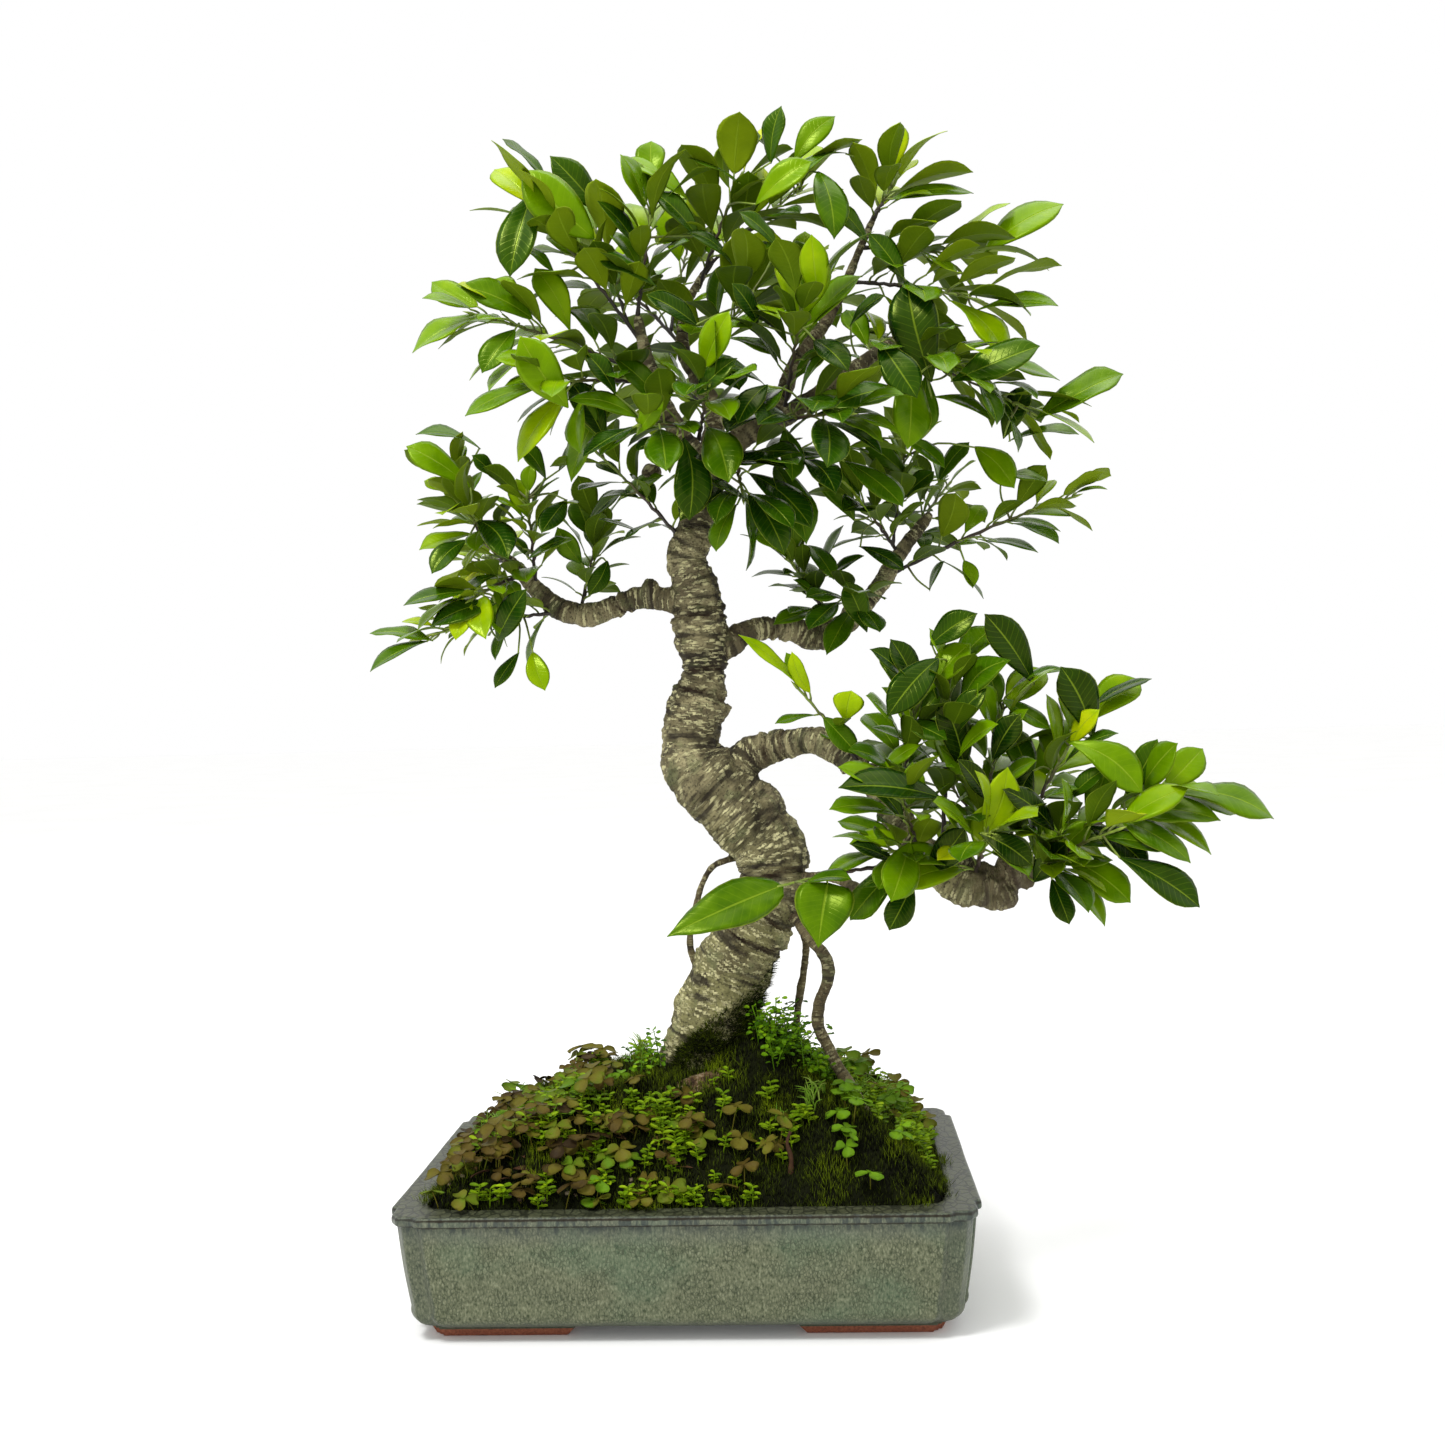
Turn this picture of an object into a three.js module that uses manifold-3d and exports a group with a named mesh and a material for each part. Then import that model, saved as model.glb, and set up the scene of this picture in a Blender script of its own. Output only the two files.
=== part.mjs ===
// A ficus bonsai in a rectangular glazed pot with indented corners.
// Millimetres, +Z up. The pot stands on z = 0 and its long front faces -Y. Everything is laid out
// from the pot's centre and moved at the end, so that the origin is under the middle of the plant.

import * as THREE from 'three';
import * as BufferGeometryUtils from 'three/addons/utils/BufferGeometryUtils.js';
import Module from 'manifold-3d';

const wasm = await Module();
wasm.setup();

// ---- Driving dimensions ----------------------------------------------------

const potLength = 400;
const potDepth = 300;
const potHeight = 88;
const potTaper = 9;
const potWall = 11;
const potFloor = 10;
const rimWidth = 21;
const lipHeight = 7;
const lipStep = 2;
const rimEdge = 1.5;
const lipSlope = 1;
const rimCove = 3;
const innerRound = 6;
const bottomRound = 12;
const bottomRoundIn = 0.35;
const bottomRoundUp = 0.3;
const cornerLength = 22;
const cornerDepth = 30;
const cornerStep = 4;
const cornerLean = 1.5;
const cornerBow = 5;
const cornerShift = 1;
const footHeight = 9;
const footWidth = 24;
const footSetIn = 15;
const footDraft = 4;
const footGapFront = 162;
const footGapSide = 120;
const footSlant = 8;
const footSlantFrom = 0.45;
const drainHoleRadius = 14;
const drainHoleSides = 16;
const drainHoleSpacing = 170;
const screenSize = 44;
const screenThickness = 1.2;
const screenHoles = 3;
const screenBar = 4;

const moundHeight = 72;
const moundEdgeDrop = 5;
const moundMiddleX = 20;
const moundFullness = 0.9;
const mossThickness = 5;
const soilShoulder = 3;
const mossShoulderHeight = 24;
const mossShoulderRadius = 38;
const mossShoulderX = 46;
const mossShoulderY = -8;
const mossLump = 2.2;
const mossLumpX = 17;
const mossLumpY = 13;

const treeHeight = 706;
const rootDepth = 10;
const leafLength = 54;
const leafWidth = 24;
const leafThickness = 2.2;
const leafDroop = 0.16;
const leafCup = 0.16;
const leafWidest = 0.6;
const petioleShare = 0.2;
const petioleHalfWidth = 0.9;
const petioleThickness = 1;
const twigRadius = 1.9;
const twigTipRadius = 1.1;

const gap = 0.3;
const woodGap = 1.5 * gap;
// How far shapes that are joined or cut run past each other.
const overlap = 1;

// The root collar is where the trunk leaves the moss. Tree points are measured from it.
const collarX = 8;
const collarY = 0;
const listedTreeHeight = 706;
const treeScale = treeHeight / listedTreeHeight;

// ---- Materials -------------------------------------------------------------

const finish = (color, roughness) => new THREE.MeshStandardMaterial({ color, roughness, metalness: 0 });
const glaze = finish(0x7a856c, 0.25);
const screenPlastic = finish(0x22251f, 0.7);
const earth = finish(0x3b2c20, 0.95);
const mossGreen = finish(0x4a5a1c, 0.95);
const bark = finish(0xa59b7d, 0.85);
const leafGreen = finish(0x3f7a1a, 0.3);

// ---- Solids from rings -----------------------------------------------------

const model = new THREE.Group();

// Skins rings of equal length into a closed body. A ring of one point is a pole.
function skin(rings) {
  const positions = [];
  const starts = [];
  for (const ring of rings) {
    starts.push(positions.length / 3);
    ring.forEach((point) => positions.push(point.x, point.y, point.z));
  }
  const faces = [];
  for (let r = 0; r + 1 < rings.length; r += 1) {
    const low = rings[r].length;
    const high = rings[r + 1].length;
    const count = Math.max(low, high);
    for (let k = 0; k < count; k += 1) {
      const next = (k + 1) % count;
      const a = starts[r] + (low > 1 ? k : 0);
      const b = starts[r] + (low > 1 ? next : 0);
      const c = starts[r + 1] + (high > 1 ? next : 0);
      const d = starts[r + 1] + (high > 1 ? k : 0);
      if (low > 1) faces.push(a, b, c);
      if (high > 1) faces.push(a, c, d);
    }
  }
  const geometry = new THREE.BufferGeometry();
  geometry.setAttribute('position', new THREE.Float32BufferAttribute(positions, 3));
  geometry.setIndex(faces);
  return geometry;
}

function signedVolume(geometry) {
  const at = geometry.getAttribute('position');
  const index = geometry.getIndex();
  const [a, b, c] = [new THREE.Vector3(), new THREE.Vector3(), new THREE.Vector3()];
  let volume = 0;
  for (let k = 0; k < index.count; k += 3) {
    a.fromBufferAttribute(at, index.getX(k));
    b.fromBufferAttribute(at, index.getX(k + 1));
    c.fromBufferAttribute(at, index.getX(k + 2));
    volume += a.dot(b.cross(c)) / 6;
  }
  return volume;
}

function toSolid(source) {
  const geometry = source.clone();
  geometry.deleteAttribute('normal');
  geometry.deleteAttribute('uv');
  const merged = BufferGeometryUtils.mergeVertices(geometry, 1e-4);
  const triVerts = new Uint32Array(merged.getIndex().array);
  if (signedVolume(merged) < 0) {
    for (let k = 0; k < triVerts.length; k += 3) {
      [triVerts[k + 1], triVerts[k + 2]] = [triVerts[k + 2], triVerts[k + 1]];
    }
  }
  const vertProperties = new Float32Array(merged.getAttribute('position').array);
  return new wasm.Manifold(new wasm.Mesh({ numProp: 3, vertProperties, triVerts }));
}

function toGeometry(solid) {
  const mesh = solid.getMesh();
  const geometry = new THREE.BufferGeometry();
  geometry.setAttribute('position', new THREE.Float32BufferAttribute(mesh.vertProperties, 3));
  geometry.setIndex(new THREE.BufferAttribute(mesh.triVerts, 1));
  return geometry;
}

// A cut can leave a crumb beside the piece; the piece is its biggest body.
function biggest(solid) {
  const bodies = solid.decompose();
  return bodies.reduce((best, body) => (body.volume() > best.volume() ? body : best));
}

function addPiece(name, solid, material) {
  const mesh = new THREE.Mesh(toGeometry(solid), material);
  mesh.name = name;
  model.add(mesh);
}

// A repeatable scatter value from 0 to 1.
function scatter(...seeds) {
  let sum = 0;
  seeds.forEach((seed, k) => {
    sum += seed * (12.9898 + 65.1 * k);
  });
  const value = Math.sin(sum) * 43758.5453;
  return value - Math.floor(value);
}

// ---- Pot -------------------------------------------------------------------

// The plan of the pot at one height: straight sides, and corners set in by a step and a chamfer.
function potPlan(inset, z) {
  const a = potLength / 2 - inset;
  const b = potDepth / 2 - inset;
  const corner = [
    [a - cornerLength, -b],
    [a - cornerLength + cornerLean, -b + cornerStep],
    [a - cornerLength / 2, -b + cornerStep + cornerBow],
    [a - cornerStep - cornerBow + cornerShift, -b + cornerDepth / 2 + cornerShift],
    [a - cornerStep, -b + cornerDepth - cornerLean],
    [a, -b + cornerDepth],
  ];
  const right = [...corner, ...corner.map(([x, y]) => [x, -y]).reverse()];
  const left = right.map(([x, y]) => [-x, -y]);
  return [...right, ...left].map(([x, y]) => new THREE.Vector3(x, y, z));
}

const pole = (z) => [new THREE.Vector3(0, 0, z)];
const wallInset = (z) => potTaper * (1 - (z - footHeight) / (potHeight - footHeight));

function potShell() {
  const bottom = footHeight;
  const lipBottom = potHeight - lipHeight;
  const floorTop = bottom + potFloor;
  const rings = [
    pole(bottom),
    potPlan(wallInset(bottom) + bottomRound, bottom),
    potPlan(wallInset(bottom) + bottomRound * bottomRoundIn, bottom + bottomRound * bottomRoundUp),
    potPlan(wallInset(bottom + bottomRound) + lipStep, bottom + bottomRound),
    potPlan(wallInset(lipBottom) + lipStep, lipBottom),
    potPlan(wallInset(lipBottom + lipSlope), lipBottom + lipSlope),
    potPlan(0, potHeight - rimEdge),
    potPlan(rimEdge, potHeight),
    potPlan(rimWidth - rimEdge, potHeight),
    potPlan(rimWidth, potHeight - rimEdge),
    potPlan(rimWidth, lipBottom),
    potPlan(potWall + lipStep, lipBottom - rimCove),
    potPlan(potWall + potTaper, floorTop + innerRound),
    potPlan(potWall + potTaper + innerRound, floorTop),
    pole(floorTop),
  ];
  return toSolid(skin(rings));
}

// The foot ring under the floor, opened on all four sides by gaps with slanted ends.
function potFeet() {
  const outer = [
    potPlan(wallInset(footHeight) + footSetIn + footDraft, 0),
    potPlan(wallInset(footHeight) + footSetIn, footHeight + overlap),
  ];
  const innerInset = wallInset(footHeight) + footSetIn + footWidth;
  const inner = [potPlan(innerInset, -overlap), potPlan(innerInset, footHeight + 2 * overlap)];
  const capped = (pair) => toSolid(skin([pole(pair[0][0].z), ...pair, pole(pair[1][0].z)]));
  const ring = capped(outer).subtract(capped(inner));
  const opening = (width, depth) => {
    const shape = new THREE.Shape();
    shape.moveTo(-width / 2, -overlap);
    shape.lineTo(width / 2, -overlap);
    shape.lineTo(width / 2, footHeight * footSlantFrom);
    shape.lineTo(width / 2 - footSlant, footHeight);
    shape.lineTo(-width / 2 + footSlant, footHeight);
    shape.lineTo(-width / 2, footHeight * footSlantFrom);
    const prism = new THREE.ExtrudeGeometry(shape, { depth, bevelEnabled: false });
    prism.translate(0, 0, -depth / 2);
    prism.rotateX(Math.PI / 2);
    return prism;
  };
  const front = toSolid(opening(footGapFront, potDepth));
  const side = toSolid(opening(footGapSide, potLength).rotateZ(Math.PI / 2));
  return ring.subtract(front).subtract(side);
}

const drainCentres = [-drainHoleSpacing / 2, drainHoleSpacing / 2];

function makePot() {
  let pot = potShell().add(potFeet());
  for (const x of drainCentres) {
    const depth = potFloor * 3;
    const plug = new THREE.CylinderGeometry(drainHoleRadius, drainHoleRadius, depth, drainHoleSides);
    plug.rotateX(Math.PI / 2);
    plug.translate(x, 0, footHeight + potFloor / 2);
    pot = pot.subtract(toSolid(plug));
  }
  return pot;
}

// A square of plastic mesh that keeps the soil out of one drain hole.
function makeScreen(x) {
  const z = footHeight + potFloor + gap + screenThickness / 2;
  const box = (width, depth, height, dx = 0, dy = 0) => {
    const block = new THREE.BoxGeometry(width, depth, height);
    return toSolid(block.translate(x + dx, dy, z));
  };
  const pitch = (screenSize - screenBar) / screenHoles;
  const hole = pitch - screenBar;
  const first = -(pitch * (screenHoles - 1)) / 2;
  let sheet = box(screenSize, screenSize, screenThickness);
  for (let row = 0; row < screenHoles; row += 1) {
    for (let column = 0; column < screenHoles; column += 1) {
      const dx = first + column * pitch;
      const dy = first + row * pitch;
      sheet = sheet.subtract(box(hole, hole, screenThickness * 3, dx, dy));
    }
  }
  return sheet;
}

// ---- Soil and moss ---------------------------------------------------------

// Height of the moss over the pot's plan; share is 0 at the collar and 1 at the rim's inner edge.
function moundTop(x, y, share) {
  const edge = potHeight - moundEdgeDrop;
  const rise = (moundHeight + moundEdgeDrop) * (1 - share ** 2) ** moundFullness;
  const dx = (x - collarX - mossShoulderX) / mossShoulderRadius;
  const dy = (y - collarY - mossShoulderY) / mossShoulderRadius;
  const shoulder = mossShoulderHeight * Math.exp(-dx * dx - dy * dy);
  const lumps = mossLump * Math.sin(x / mossLumpX + 1) * Math.cos(y / mossLumpY) * (1 - share ** 6);
  return edge + rise + shoulder + lumps;
}

const moundShares = [1, 0.9, 0.7, 0.45, 0.22];
const moundMiddle = collarX + moundMiddleX;

function moundRing(share, drop, inset) {
  return potPlan(inset, 0).map((edge) => {
    const x = THREE.MathUtils.lerp(moundMiddle, edge.x, share);
    const y = THREE.MathUtils.lerp(collarY, edge.y, share);
    return new THREE.Vector3(x, y, moundTop(x, y, share) - drop);
  });
}

function moundPole(drop) {
  return [new THREE.Vector3(moundMiddle, collarY, moundTop(moundMiddle, collarY, 0) - drop)];
}

const moundRings = (drop) => moundShares.map((share) => moundRing(share, drop, rimWidth + gap));

function makeSoilBlock() {
  const floorTop = footHeight + potFloor + screenThickness + 2 * gap;
  const shoulder = potHeight - moundEdgeDrop - mossThickness - soilShoulder;
  const wallGap = potWall + potTaper + gap * 2;
  const sides = [
    pole(floorTop),
    potPlan(wallGap + innerRound, floorTop),
    potPlan(wallGap, floorTop + innerRound),
    potPlan(potWall + lipStep + gap * 2, shoulder),
  ];
  return toSolid(skin([...sides, ...moundRings(mossThickness), moundPole(mossThickness)]));
}

// The moss is what lies between the mound's top and the soil under it.
function makeMossSheet() {
  const base = [pole(0), potPlan(rimWidth + gap, 0)];
  const block = (drop) => toSolid(skin([...base, ...moundRings(drop), moundPole(drop)]));
  return block(0).subtract(block(mossThickness - gap));
}

// ---- Wood ------------------------------------------------------------------

const collar = new THREE.Vector3(collarX, collarY, potHeight + moundHeight);
const place = ([x, y, z]) => new THREE.Vector3(x, y, z).multiplyScalar(treeScale).add(collar);

// The bark's three ridges and two flats, as shares of the radius, and their turn from ring to ring.
const ridges = { share: 0.05, turn: 0.9 };
const flats = { share: 0.03, turn: -0.6 };
const branchEnd = 0.5;

// A branch through listed points [x, y, z, radius] with slightly lobed rings.
function branch(points, sides, steps, swell = 0) {
  const curve = new THREE.CatmullRomCurve3(points.map(place), false, 'centripetal');
  const last = points.length - 1;
  const normal = new THREE.Vector3(0, 1, 0);
  const across = new THREE.Vector3();
  const rings = [];
  for (let k = 0; k <= steps; k += 1) {
    const t = k / steps;
    const centre = curve.getPoint(t);
    const along = curve.getTangent(t);
    const span = Math.min(Math.floor(t * last), last - 1);
    const mix = t * last - span;
    const radius = THREE.MathUtils.lerp(points[span][3], points[span + 1][3], mix) * treeScale;
    normal.addScaledVector(along, -normal.dot(along)).normalize();
    across.crossVectors(along, normal);
    const ring = [];
    for (let s = 0; s < sides; s += 1) {
      const angle = (s / sides) * Math.PI * 2;
      const ridge = ridges.share * Math.sin(3 * angle + k * ridges.turn);
      const flat = flats.share * Math.cos(2 * angle + k * flats.turn);
      const reach = radius * (1 + ridge + flat) + swell;
      const point = centre.clone();
      point.addScaledVector(normal, Math.cos(angle) * reach);
      point.addScaledVector(across, Math.sin(angle) * reach);
      ring.push(point);
    }
    if (k === 0) rings.push([centre.clone().addScaledVector(along, -swell)]);
    rings.push(ring);
    if (k === steps) rings.push([centre.clone().addScaledVector(along, radius * branchEnd + swell)]);
  }
  return toSolid(skin(rings));
}

// Each branch: points as [x, y, z, radius] from the collar, ring sides and steps along it,
// and the branches that it grows out of or passes, whose wood it stops short of.
const wood = {
  trunk: {
    points: [
      [-6, 5, -58, 40], [-3, 5, -25, 36], [1, 5, -4, 33], [7, 3, 26, 31], [17, 0, 54, 29],
      [30, -2, 80, 27], [44, -5, 105, 25.5], [56, -5, 128, 24.5], [54, -3, 154, 27],
      [38, 0, 178, 28.5], [18, 0, 200, 28.5], [0, 2, 221, 26], [-3, 4, 242, 21.5], [1, 5, 264, 21],
      [7, 5, 286, 16], [7, 5, 305, 18], [5, 3, 329, 20], [4, 2, 350, 17], [-3, 2, 373, 15.5],
      [4, 0, 395, 13.5], [7, 0, 417, 11.5], [7, 0, 436, 9.5],
    ],
    sides: 10,
    steps: 34,
    parents: [],
  },
  lower_right_limb: {
    points: [
      [22, 0, 203, 15], [41, -5, 226, 14], [66, -15, 234, 10.5], [88, -25, 237, 9.7],
      [106, -32, 228, 9.7], [122, -38, 215, 9.7], [138, -44, 193, 10.5], [154, -50, 167, 11.2],
      [172, -55, 148, 13.5], [193, -58, 135, 16], [215, -58, 133, 15], [231, -58, 140, 9],
    ],
    sides: 8,
    steps: 18,
    parents: ['trunk'],
  },
  left_limb: {
    points: [
      [2, 3, 342, 10.5], [-22, 6, 345, 9], [-41, 10, 346, 8.2], [-60, 14, 340, 8.2],
      [-80, 18, 335, 9], [-101, 20, 340, 8.2], [-119, 20, 356, 6.7], [-138, 20, 377, 4.5],
      [-160, 18, 396, 3],
    ],
    sides: 7,
    steps: 12,
    parents: ['trunk'],
  },
  right_limb: {
    points: [
      [8, 5, 307, 12], [25, 8, 309, 10.5], [40, 14, 319, 9], [58, 20, 321, 8.2], [77, 26, 319, 9],
      [94, 30, 314, 10.5], [111, 34, 322, 9], [127, 38, 336, 7.5], [144, 42, 356, 6.7],
      [157, 44, 376, 6], [182, 46, 407, 3.7],
    ],
    sides: 7,
    steps: 13,
    parents: ['trunk'],
  },
  crown_left_leader: {
    points: [
      [6, -2, 417, 7.5], [8, -8, 442, 9.7], [-4, -15, 463, 8.2], [-18, -22, 489, 6.7],
      [-26, -28, 516, 5.2], [-32, -34, 548, 3.7],
    ],
    sides: 7,
    steps: 8,
    parents: ['trunk'],
  },
  crown_mid_leader: {
    points: [
      [8, 4, 423, 6.7], [18, 12, 463, 8.2], [20, 18, 486, 7.5], [5, 26, 515, 6], [-4, 32, 538, 5.2],
      [1, 38, 573, 3.7], [21, 42, 607, 2.6],
    ],
    sides: 7,
    steps: 9,
    parents: ['trunk', 'crown_left_leader'],
  },
  crown_right_branch: {
    points: [
      [10, -2, 417, 6.7], [24, -6, 444, 9], [44, -10, 463, 8.2], [72, -12, 475, 7.5],
      [102, -14, 493, 6], [129, -14, 511, 5.2], [175, -12, 540, 3],
    ],
    sides: 7,
    steps: 9,
    parents: ['trunk', 'crown_left_leader', 'crown_mid_leader'],
  },
  crown_rear_branch: {
    points: [
      [57, -4, 472, 6], [71, 10, 494, 6], [83, 22, 524, 5.2], [103, 30, 549, 4.5],
      [120, 34, 580, 3.7], [133, 36, 609, 3], [148, 36, 640, 2.2],
    ],
    sides: 5,
    steps: 8,
    parents: ['crown_right_branch'],
  },
  aerial_root_left: {
    points: [
      [38, 6, 152, 2.8], [12, 2, 145, 2.6], [3, 0, 133, 2.6], [-5, 0, 106, 2.6], [-8, 0, 88, 2.6],
      [-5, 2, 72, 2.6], [1, 4, 58, 2.6],
    ],
    sides: 5,
    steps: 9,
    parents: ['trunk'],
  },
  aerial_root_front: {
    points: [
      [48, -8, 116, 4.5], [71, -20, 107, 4.5], [80, -26, 94, 4.5], [92, -29, 80, 4.5],
      [94, -30, 64, 4.5], [87, -30, 46, 4.5], [86, -30, 29, 4.5], [93, -32, 14, 4.5],
      [101, -36, -2, 4.5], [112, -40, -20, 4.5], [120, -42, -38, 3.7],
    ],
    rooted: true,
    sides: 5,
    steps: 14,
    parents: ['trunk'],
  },
  aerial_root_back: {
    points: [
      [52, 4, 114, 4], [70, 12, 104, 3.4], [78, 14, 84, 3], [76, 14, 62, 3], [72, 14, 42, 3],
      [69, 14, 18, 3], [65, 14, -12, 3], [64, 14, -30, 2.6],
    ],
    rooted: true,
    sides: 5,
    steps: 9,
    parents: ['trunk'],
  },
  aerial_root_burl: {
    points: [
      [56, -6, 138, 4.5], [82, -20, 137, 3.7], [95, -26, 138, 3.7], [106, -32, 135, 4.2],
      [117, -38, 128, 5.2], [124, -42, 123, 3.7],
    ],
    sides: 5,
    steps: 6,
    parents: ['trunk'],
  },
};

// ---- Shoots ----------------------------------------------------------------

// Each shoot is a twig that starts inside its branch, some with a fork that leaves the twig near
// its foot, and the number of leaves on each. The leaves run up a twig in a spiral, and the last
// one carries on past its tip.
const twig = (from, to, leaves) => ({ from, to, leaves });
const fork = (to, leaves) => ({ to, leaves });
const shoots = {
  crown_shoot_01: [twig([-23, -25, 504], [-146, -60, 547], 5)],
  crown_shoot_02: [twig([-27, -30, 525], [-101, -50, 621], 5), fork([-62, -10, 614], 3)],
  crown_shoot_03: [twig([-23, -24, 500], [-91, -100, 488], 4)],
  crown_shoot_04: [twig([-32, -34, 546], [-18, -40, 628], 4)],
  crown_shoot_05: [twig([-4, 32, 538], [-63, 80, 606], 4), fork([-1, 110, 642], 4)],
  crown_shoot_06: [twig([9, 40, 584], [42, 20, 658], 4), fork([88, 40, 656], 4)],
  crown_shoot_07: [twig([141, 36, 627], [158, 30, 652], 3)],
  crown_shoot_08: [twig([133, 36, 609], [212, 50, 603], 4)],
  crown_shoot_09: [twig([123, 34, 583], [215, 10, 561], 4)],
  crown_shoot_10: [twig([143, -13, 521], [203, -40, 502], 3), fork([250, -20, 471], 4)],
  crown_shoot_11: [twig([9, -12, 460], [22, -95, 482], 3), fork([-26, -90, 459], 3)],
  crown_shoot_12: [twig([72, -12, 475], [88, -70, 543], 5)],
  crown_shoot_13: [twig([57, -11, 468], [118, -90, 462], 4)],
  crown_shoot_14: [twig([34, -8, 453], [42, -55, 411], 3), fork([108, -30, 441], 3)],
  crown_shoot_15: [twig([103, 30, 549], [86, 110, 607], 5)],
  crown_shoot_16: [twig([129, -14, 511], [170, 70, 550], 5)],
  crown_shoot_17: [twig([20, 18, 485], [-36, 110, 532], 5)],
  crown_shoot_18: [twig([5, 26, 515], [49, -30, 559], 5)],
  left_shoot_01: [twig([-147, 19, 387], [-162, -25, 409], 4)],
  left_shoot_02: [twig([-159, 18, 395], [-179, 15, 439], 4)],
  left_shoot_03: [twig([-129, 20, 367], [-158, -35, 346], 4)],
  left_shoot_04: [twig([-119, 20, 356], [-117, -25, 419], 5)],
  left_shoot_05: [twig([-138, 20, 377], [-182, 90, 382], 5)],
  left_shoot_06: [twig([-92, 20, 338], [-190, 0, 324], 5)],
  left_shoot_07: [twig([-86, 19, 337], [-72, 40, 402], 5)],
  left_shoot_08: [twig([0, 0, 380], [-62, -30, 448], 3)],
  right_shoot_01: [twig([127, 38, 336], [113, -10, 339], 3)],
  right_shoot_02: [twig([106, 33, 320], [73, 20, 372], 4)],
  right_shoot_03: [twig([157, 44, 376], [127, 20, 415], 3), fork([163, 50, 451], 4)],
  right_shoot_04: [twig([161, 44, 380], [202, 110, 437], 5)],
  right_shoot_05: [twig([145, 42, 358], [290, 48, 416], 5)],
  low_shoot_01: [twig([126, -40, 211], [78, -70, 274], 3)],
  low_shoot_02: [twig([145, -47, 182], [161, -50, 258], 5)],
  low_shoot_03: [twig([176, -55, 146], [186, -50, 286], 5)],
  low_shoot_04: [twig([200, -58, 138], [223, -40, 256], 5)],
  low_shoot_05: [twig([218, -58, 142], [275, -50, 240], 5)],
  low_shoot_06: [twig([222, -58, 140], [336, -75, 197], 5)],
  low_shoot_07: [twig([229, -58, 138], [289, -110, 173], 3), fork([252, -75, 146], 3)],
  low_shoot_08: [twig([165, -54, 153], [136, -80, 160], 3), fork([146, -110, 197], 3)],
  low_shoot_09: [twig([197, -58, 135], [203, -120, 172], 4)],
  low_shoot_10: [twig([211, -58, 138], [259, 30, 208], 5), fork([176, 30, 217], 4)],
  front_shoot: [twig([158, -54, 148], [64, -95, 139], 3)],
};

const goldenAngle = THREE.MathUtils.degToRad(137.5);
const twigSides = 4;
const twigSteps = 2;
const forkShare = 0.2;
const twigBow = 0.05;
const twigUpright = new THREE.Vector3(0.31, 0.87, 0.38);
const skyward = new THREE.Vector3(0, 0, 1);

// Where the leaves begin on a twig and how much of it they take up.
const leavesFrom = 0.22;
const leavesSpan = 0.74;
// How far leaves stand off their twig, in radians, at its foot and at its tip.
const spreadFoot = 1.2;
const spreadTip = 0.75;
const spreadLast = 0.05;
// How the leaves' upper faces turn away from the sky.
const faceAlong = 0.35;
const faceOutward = -0.2;
const spreadFlattened = 0.75;
const spreadLifted = 0.1;
const smallestLeaf = 0.84;
const leafSizeSpan = 0.3;
const leafTurns = [0, 0.5, -0.5, 1, -1, 1.6, -1.6, 2.3, -2.3, 3.1];
const leafSizes = [1, 0.85];
const shootTurn = 2.1;

function twigCurve(start, end) {
  const middle = start.clone().lerp(end, 0.5);
  middle.z += start.distanceTo(end) * twigBow;
  return new THREE.QuadraticBezierCurve3(start, middle, end);
}

// A square to a direction: the side vector and the upper face's normal of something along it.
function square(along, upward) {
  const side = new THREE.Vector3().crossVectors(along, upward).normalize();
  return { side, up: new THREE.Vector3().crossVectors(side, along) };
}

function twigSolid(curve, swell = 0) {
  const rings = [];
  for (let k = 0; k <= twigSteps; k += 1) {
    const t = k / twigSteps;
    const along = curve.getTangent(t);
    const { side, up } = square(along, twigUpright);
    const radius = THREE.MathUtils.lerp(twigRadius, twigTipRadius, t) + swell;
    const centre = curve.getPoint(t);
    const ring = [];
    for (let s = 0; s < twigSides; s += 1) {
      const angle = (s / twigSides) * Math.PI * 2;
      ring.push(centre.clone()
        .addScaledVector(side, Math.cos(angle) * radius)
        .addScaledVector(up, Math.sin(angle) * radius));
    }
    if (k === 0) rings.push([centre]);
    rings.push(ring);
    if (k === twigSteps) rings.push([centre.clone().addScaledVector(along, radius)]);
  }
  return toSolid(skin(rings));
}

// A leaf on its stalk: a folded blade, widest past its middle, that bows down to its tip.
function leafRings(base, along, upward, length, width) {
  const { side, up } = square(along, upward);
  const droop = length * leafDroop;
  const station = (share, half, thick) => {
    const centre = base.clone().addScaledVector(along, share * length);
    centre.addScaledVector(up, -droop * share * share);
    if (half === 0) return [centre];
    return [
      centre.clone().addScaledVector(side, half).addScaledVector(up, half * leafCup),
      centre.clone().addScaledVector(side, -half).addScaledVector(up, half * leafCup),
      centre.clone().addScaledVector(up, -thick),
    ];
  };
  const stalk = station(0, petioleThickness, petioleThickness);
  const blade = [
    station(petioleShare, petioleHalfWidth, petioleThickness),
    station(leafWidest, width / 2, leafThickness),
    station(1, 0),
  ];
  return { stalk, blade };
}

function centreOf(points) {
  const centre = new THREE.Vector3();
  points.forEach((point) => centre.add(point));
  return centre.divideScalar(points.length);
}

function solidBox(solid) {
  const { min, max } = solid.boundingBox();
  return new THREE.Box3(new THREE.Vector3(...min), new THREE.Vector3(...max)).expandByScalar(gap);
}

const pointBox = (points) => new THREE.Box3().setFromPoints(points).expandByScalar(gap);

const placed = [];

const farEnough = (solid, other) => solid.minGap(other.solid, 2 * gap) >= gap;

function clearOfOthers(solid, box, owner) {
  const near = placed.filter((other) => other.owner !== owner && other.box.intersectsBox(box));
  return near.every((other) => farEnough(solid, other));
}

function clearOfOwnLeaves(blade, box, owner) {
  const own = placed.filter((other) => other.owner === owner && other.blade);
  const near = own.filter((other) => other.box.intersectsBox(box));
  return near.every((other) => farEnough(blade, other));
}

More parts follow.
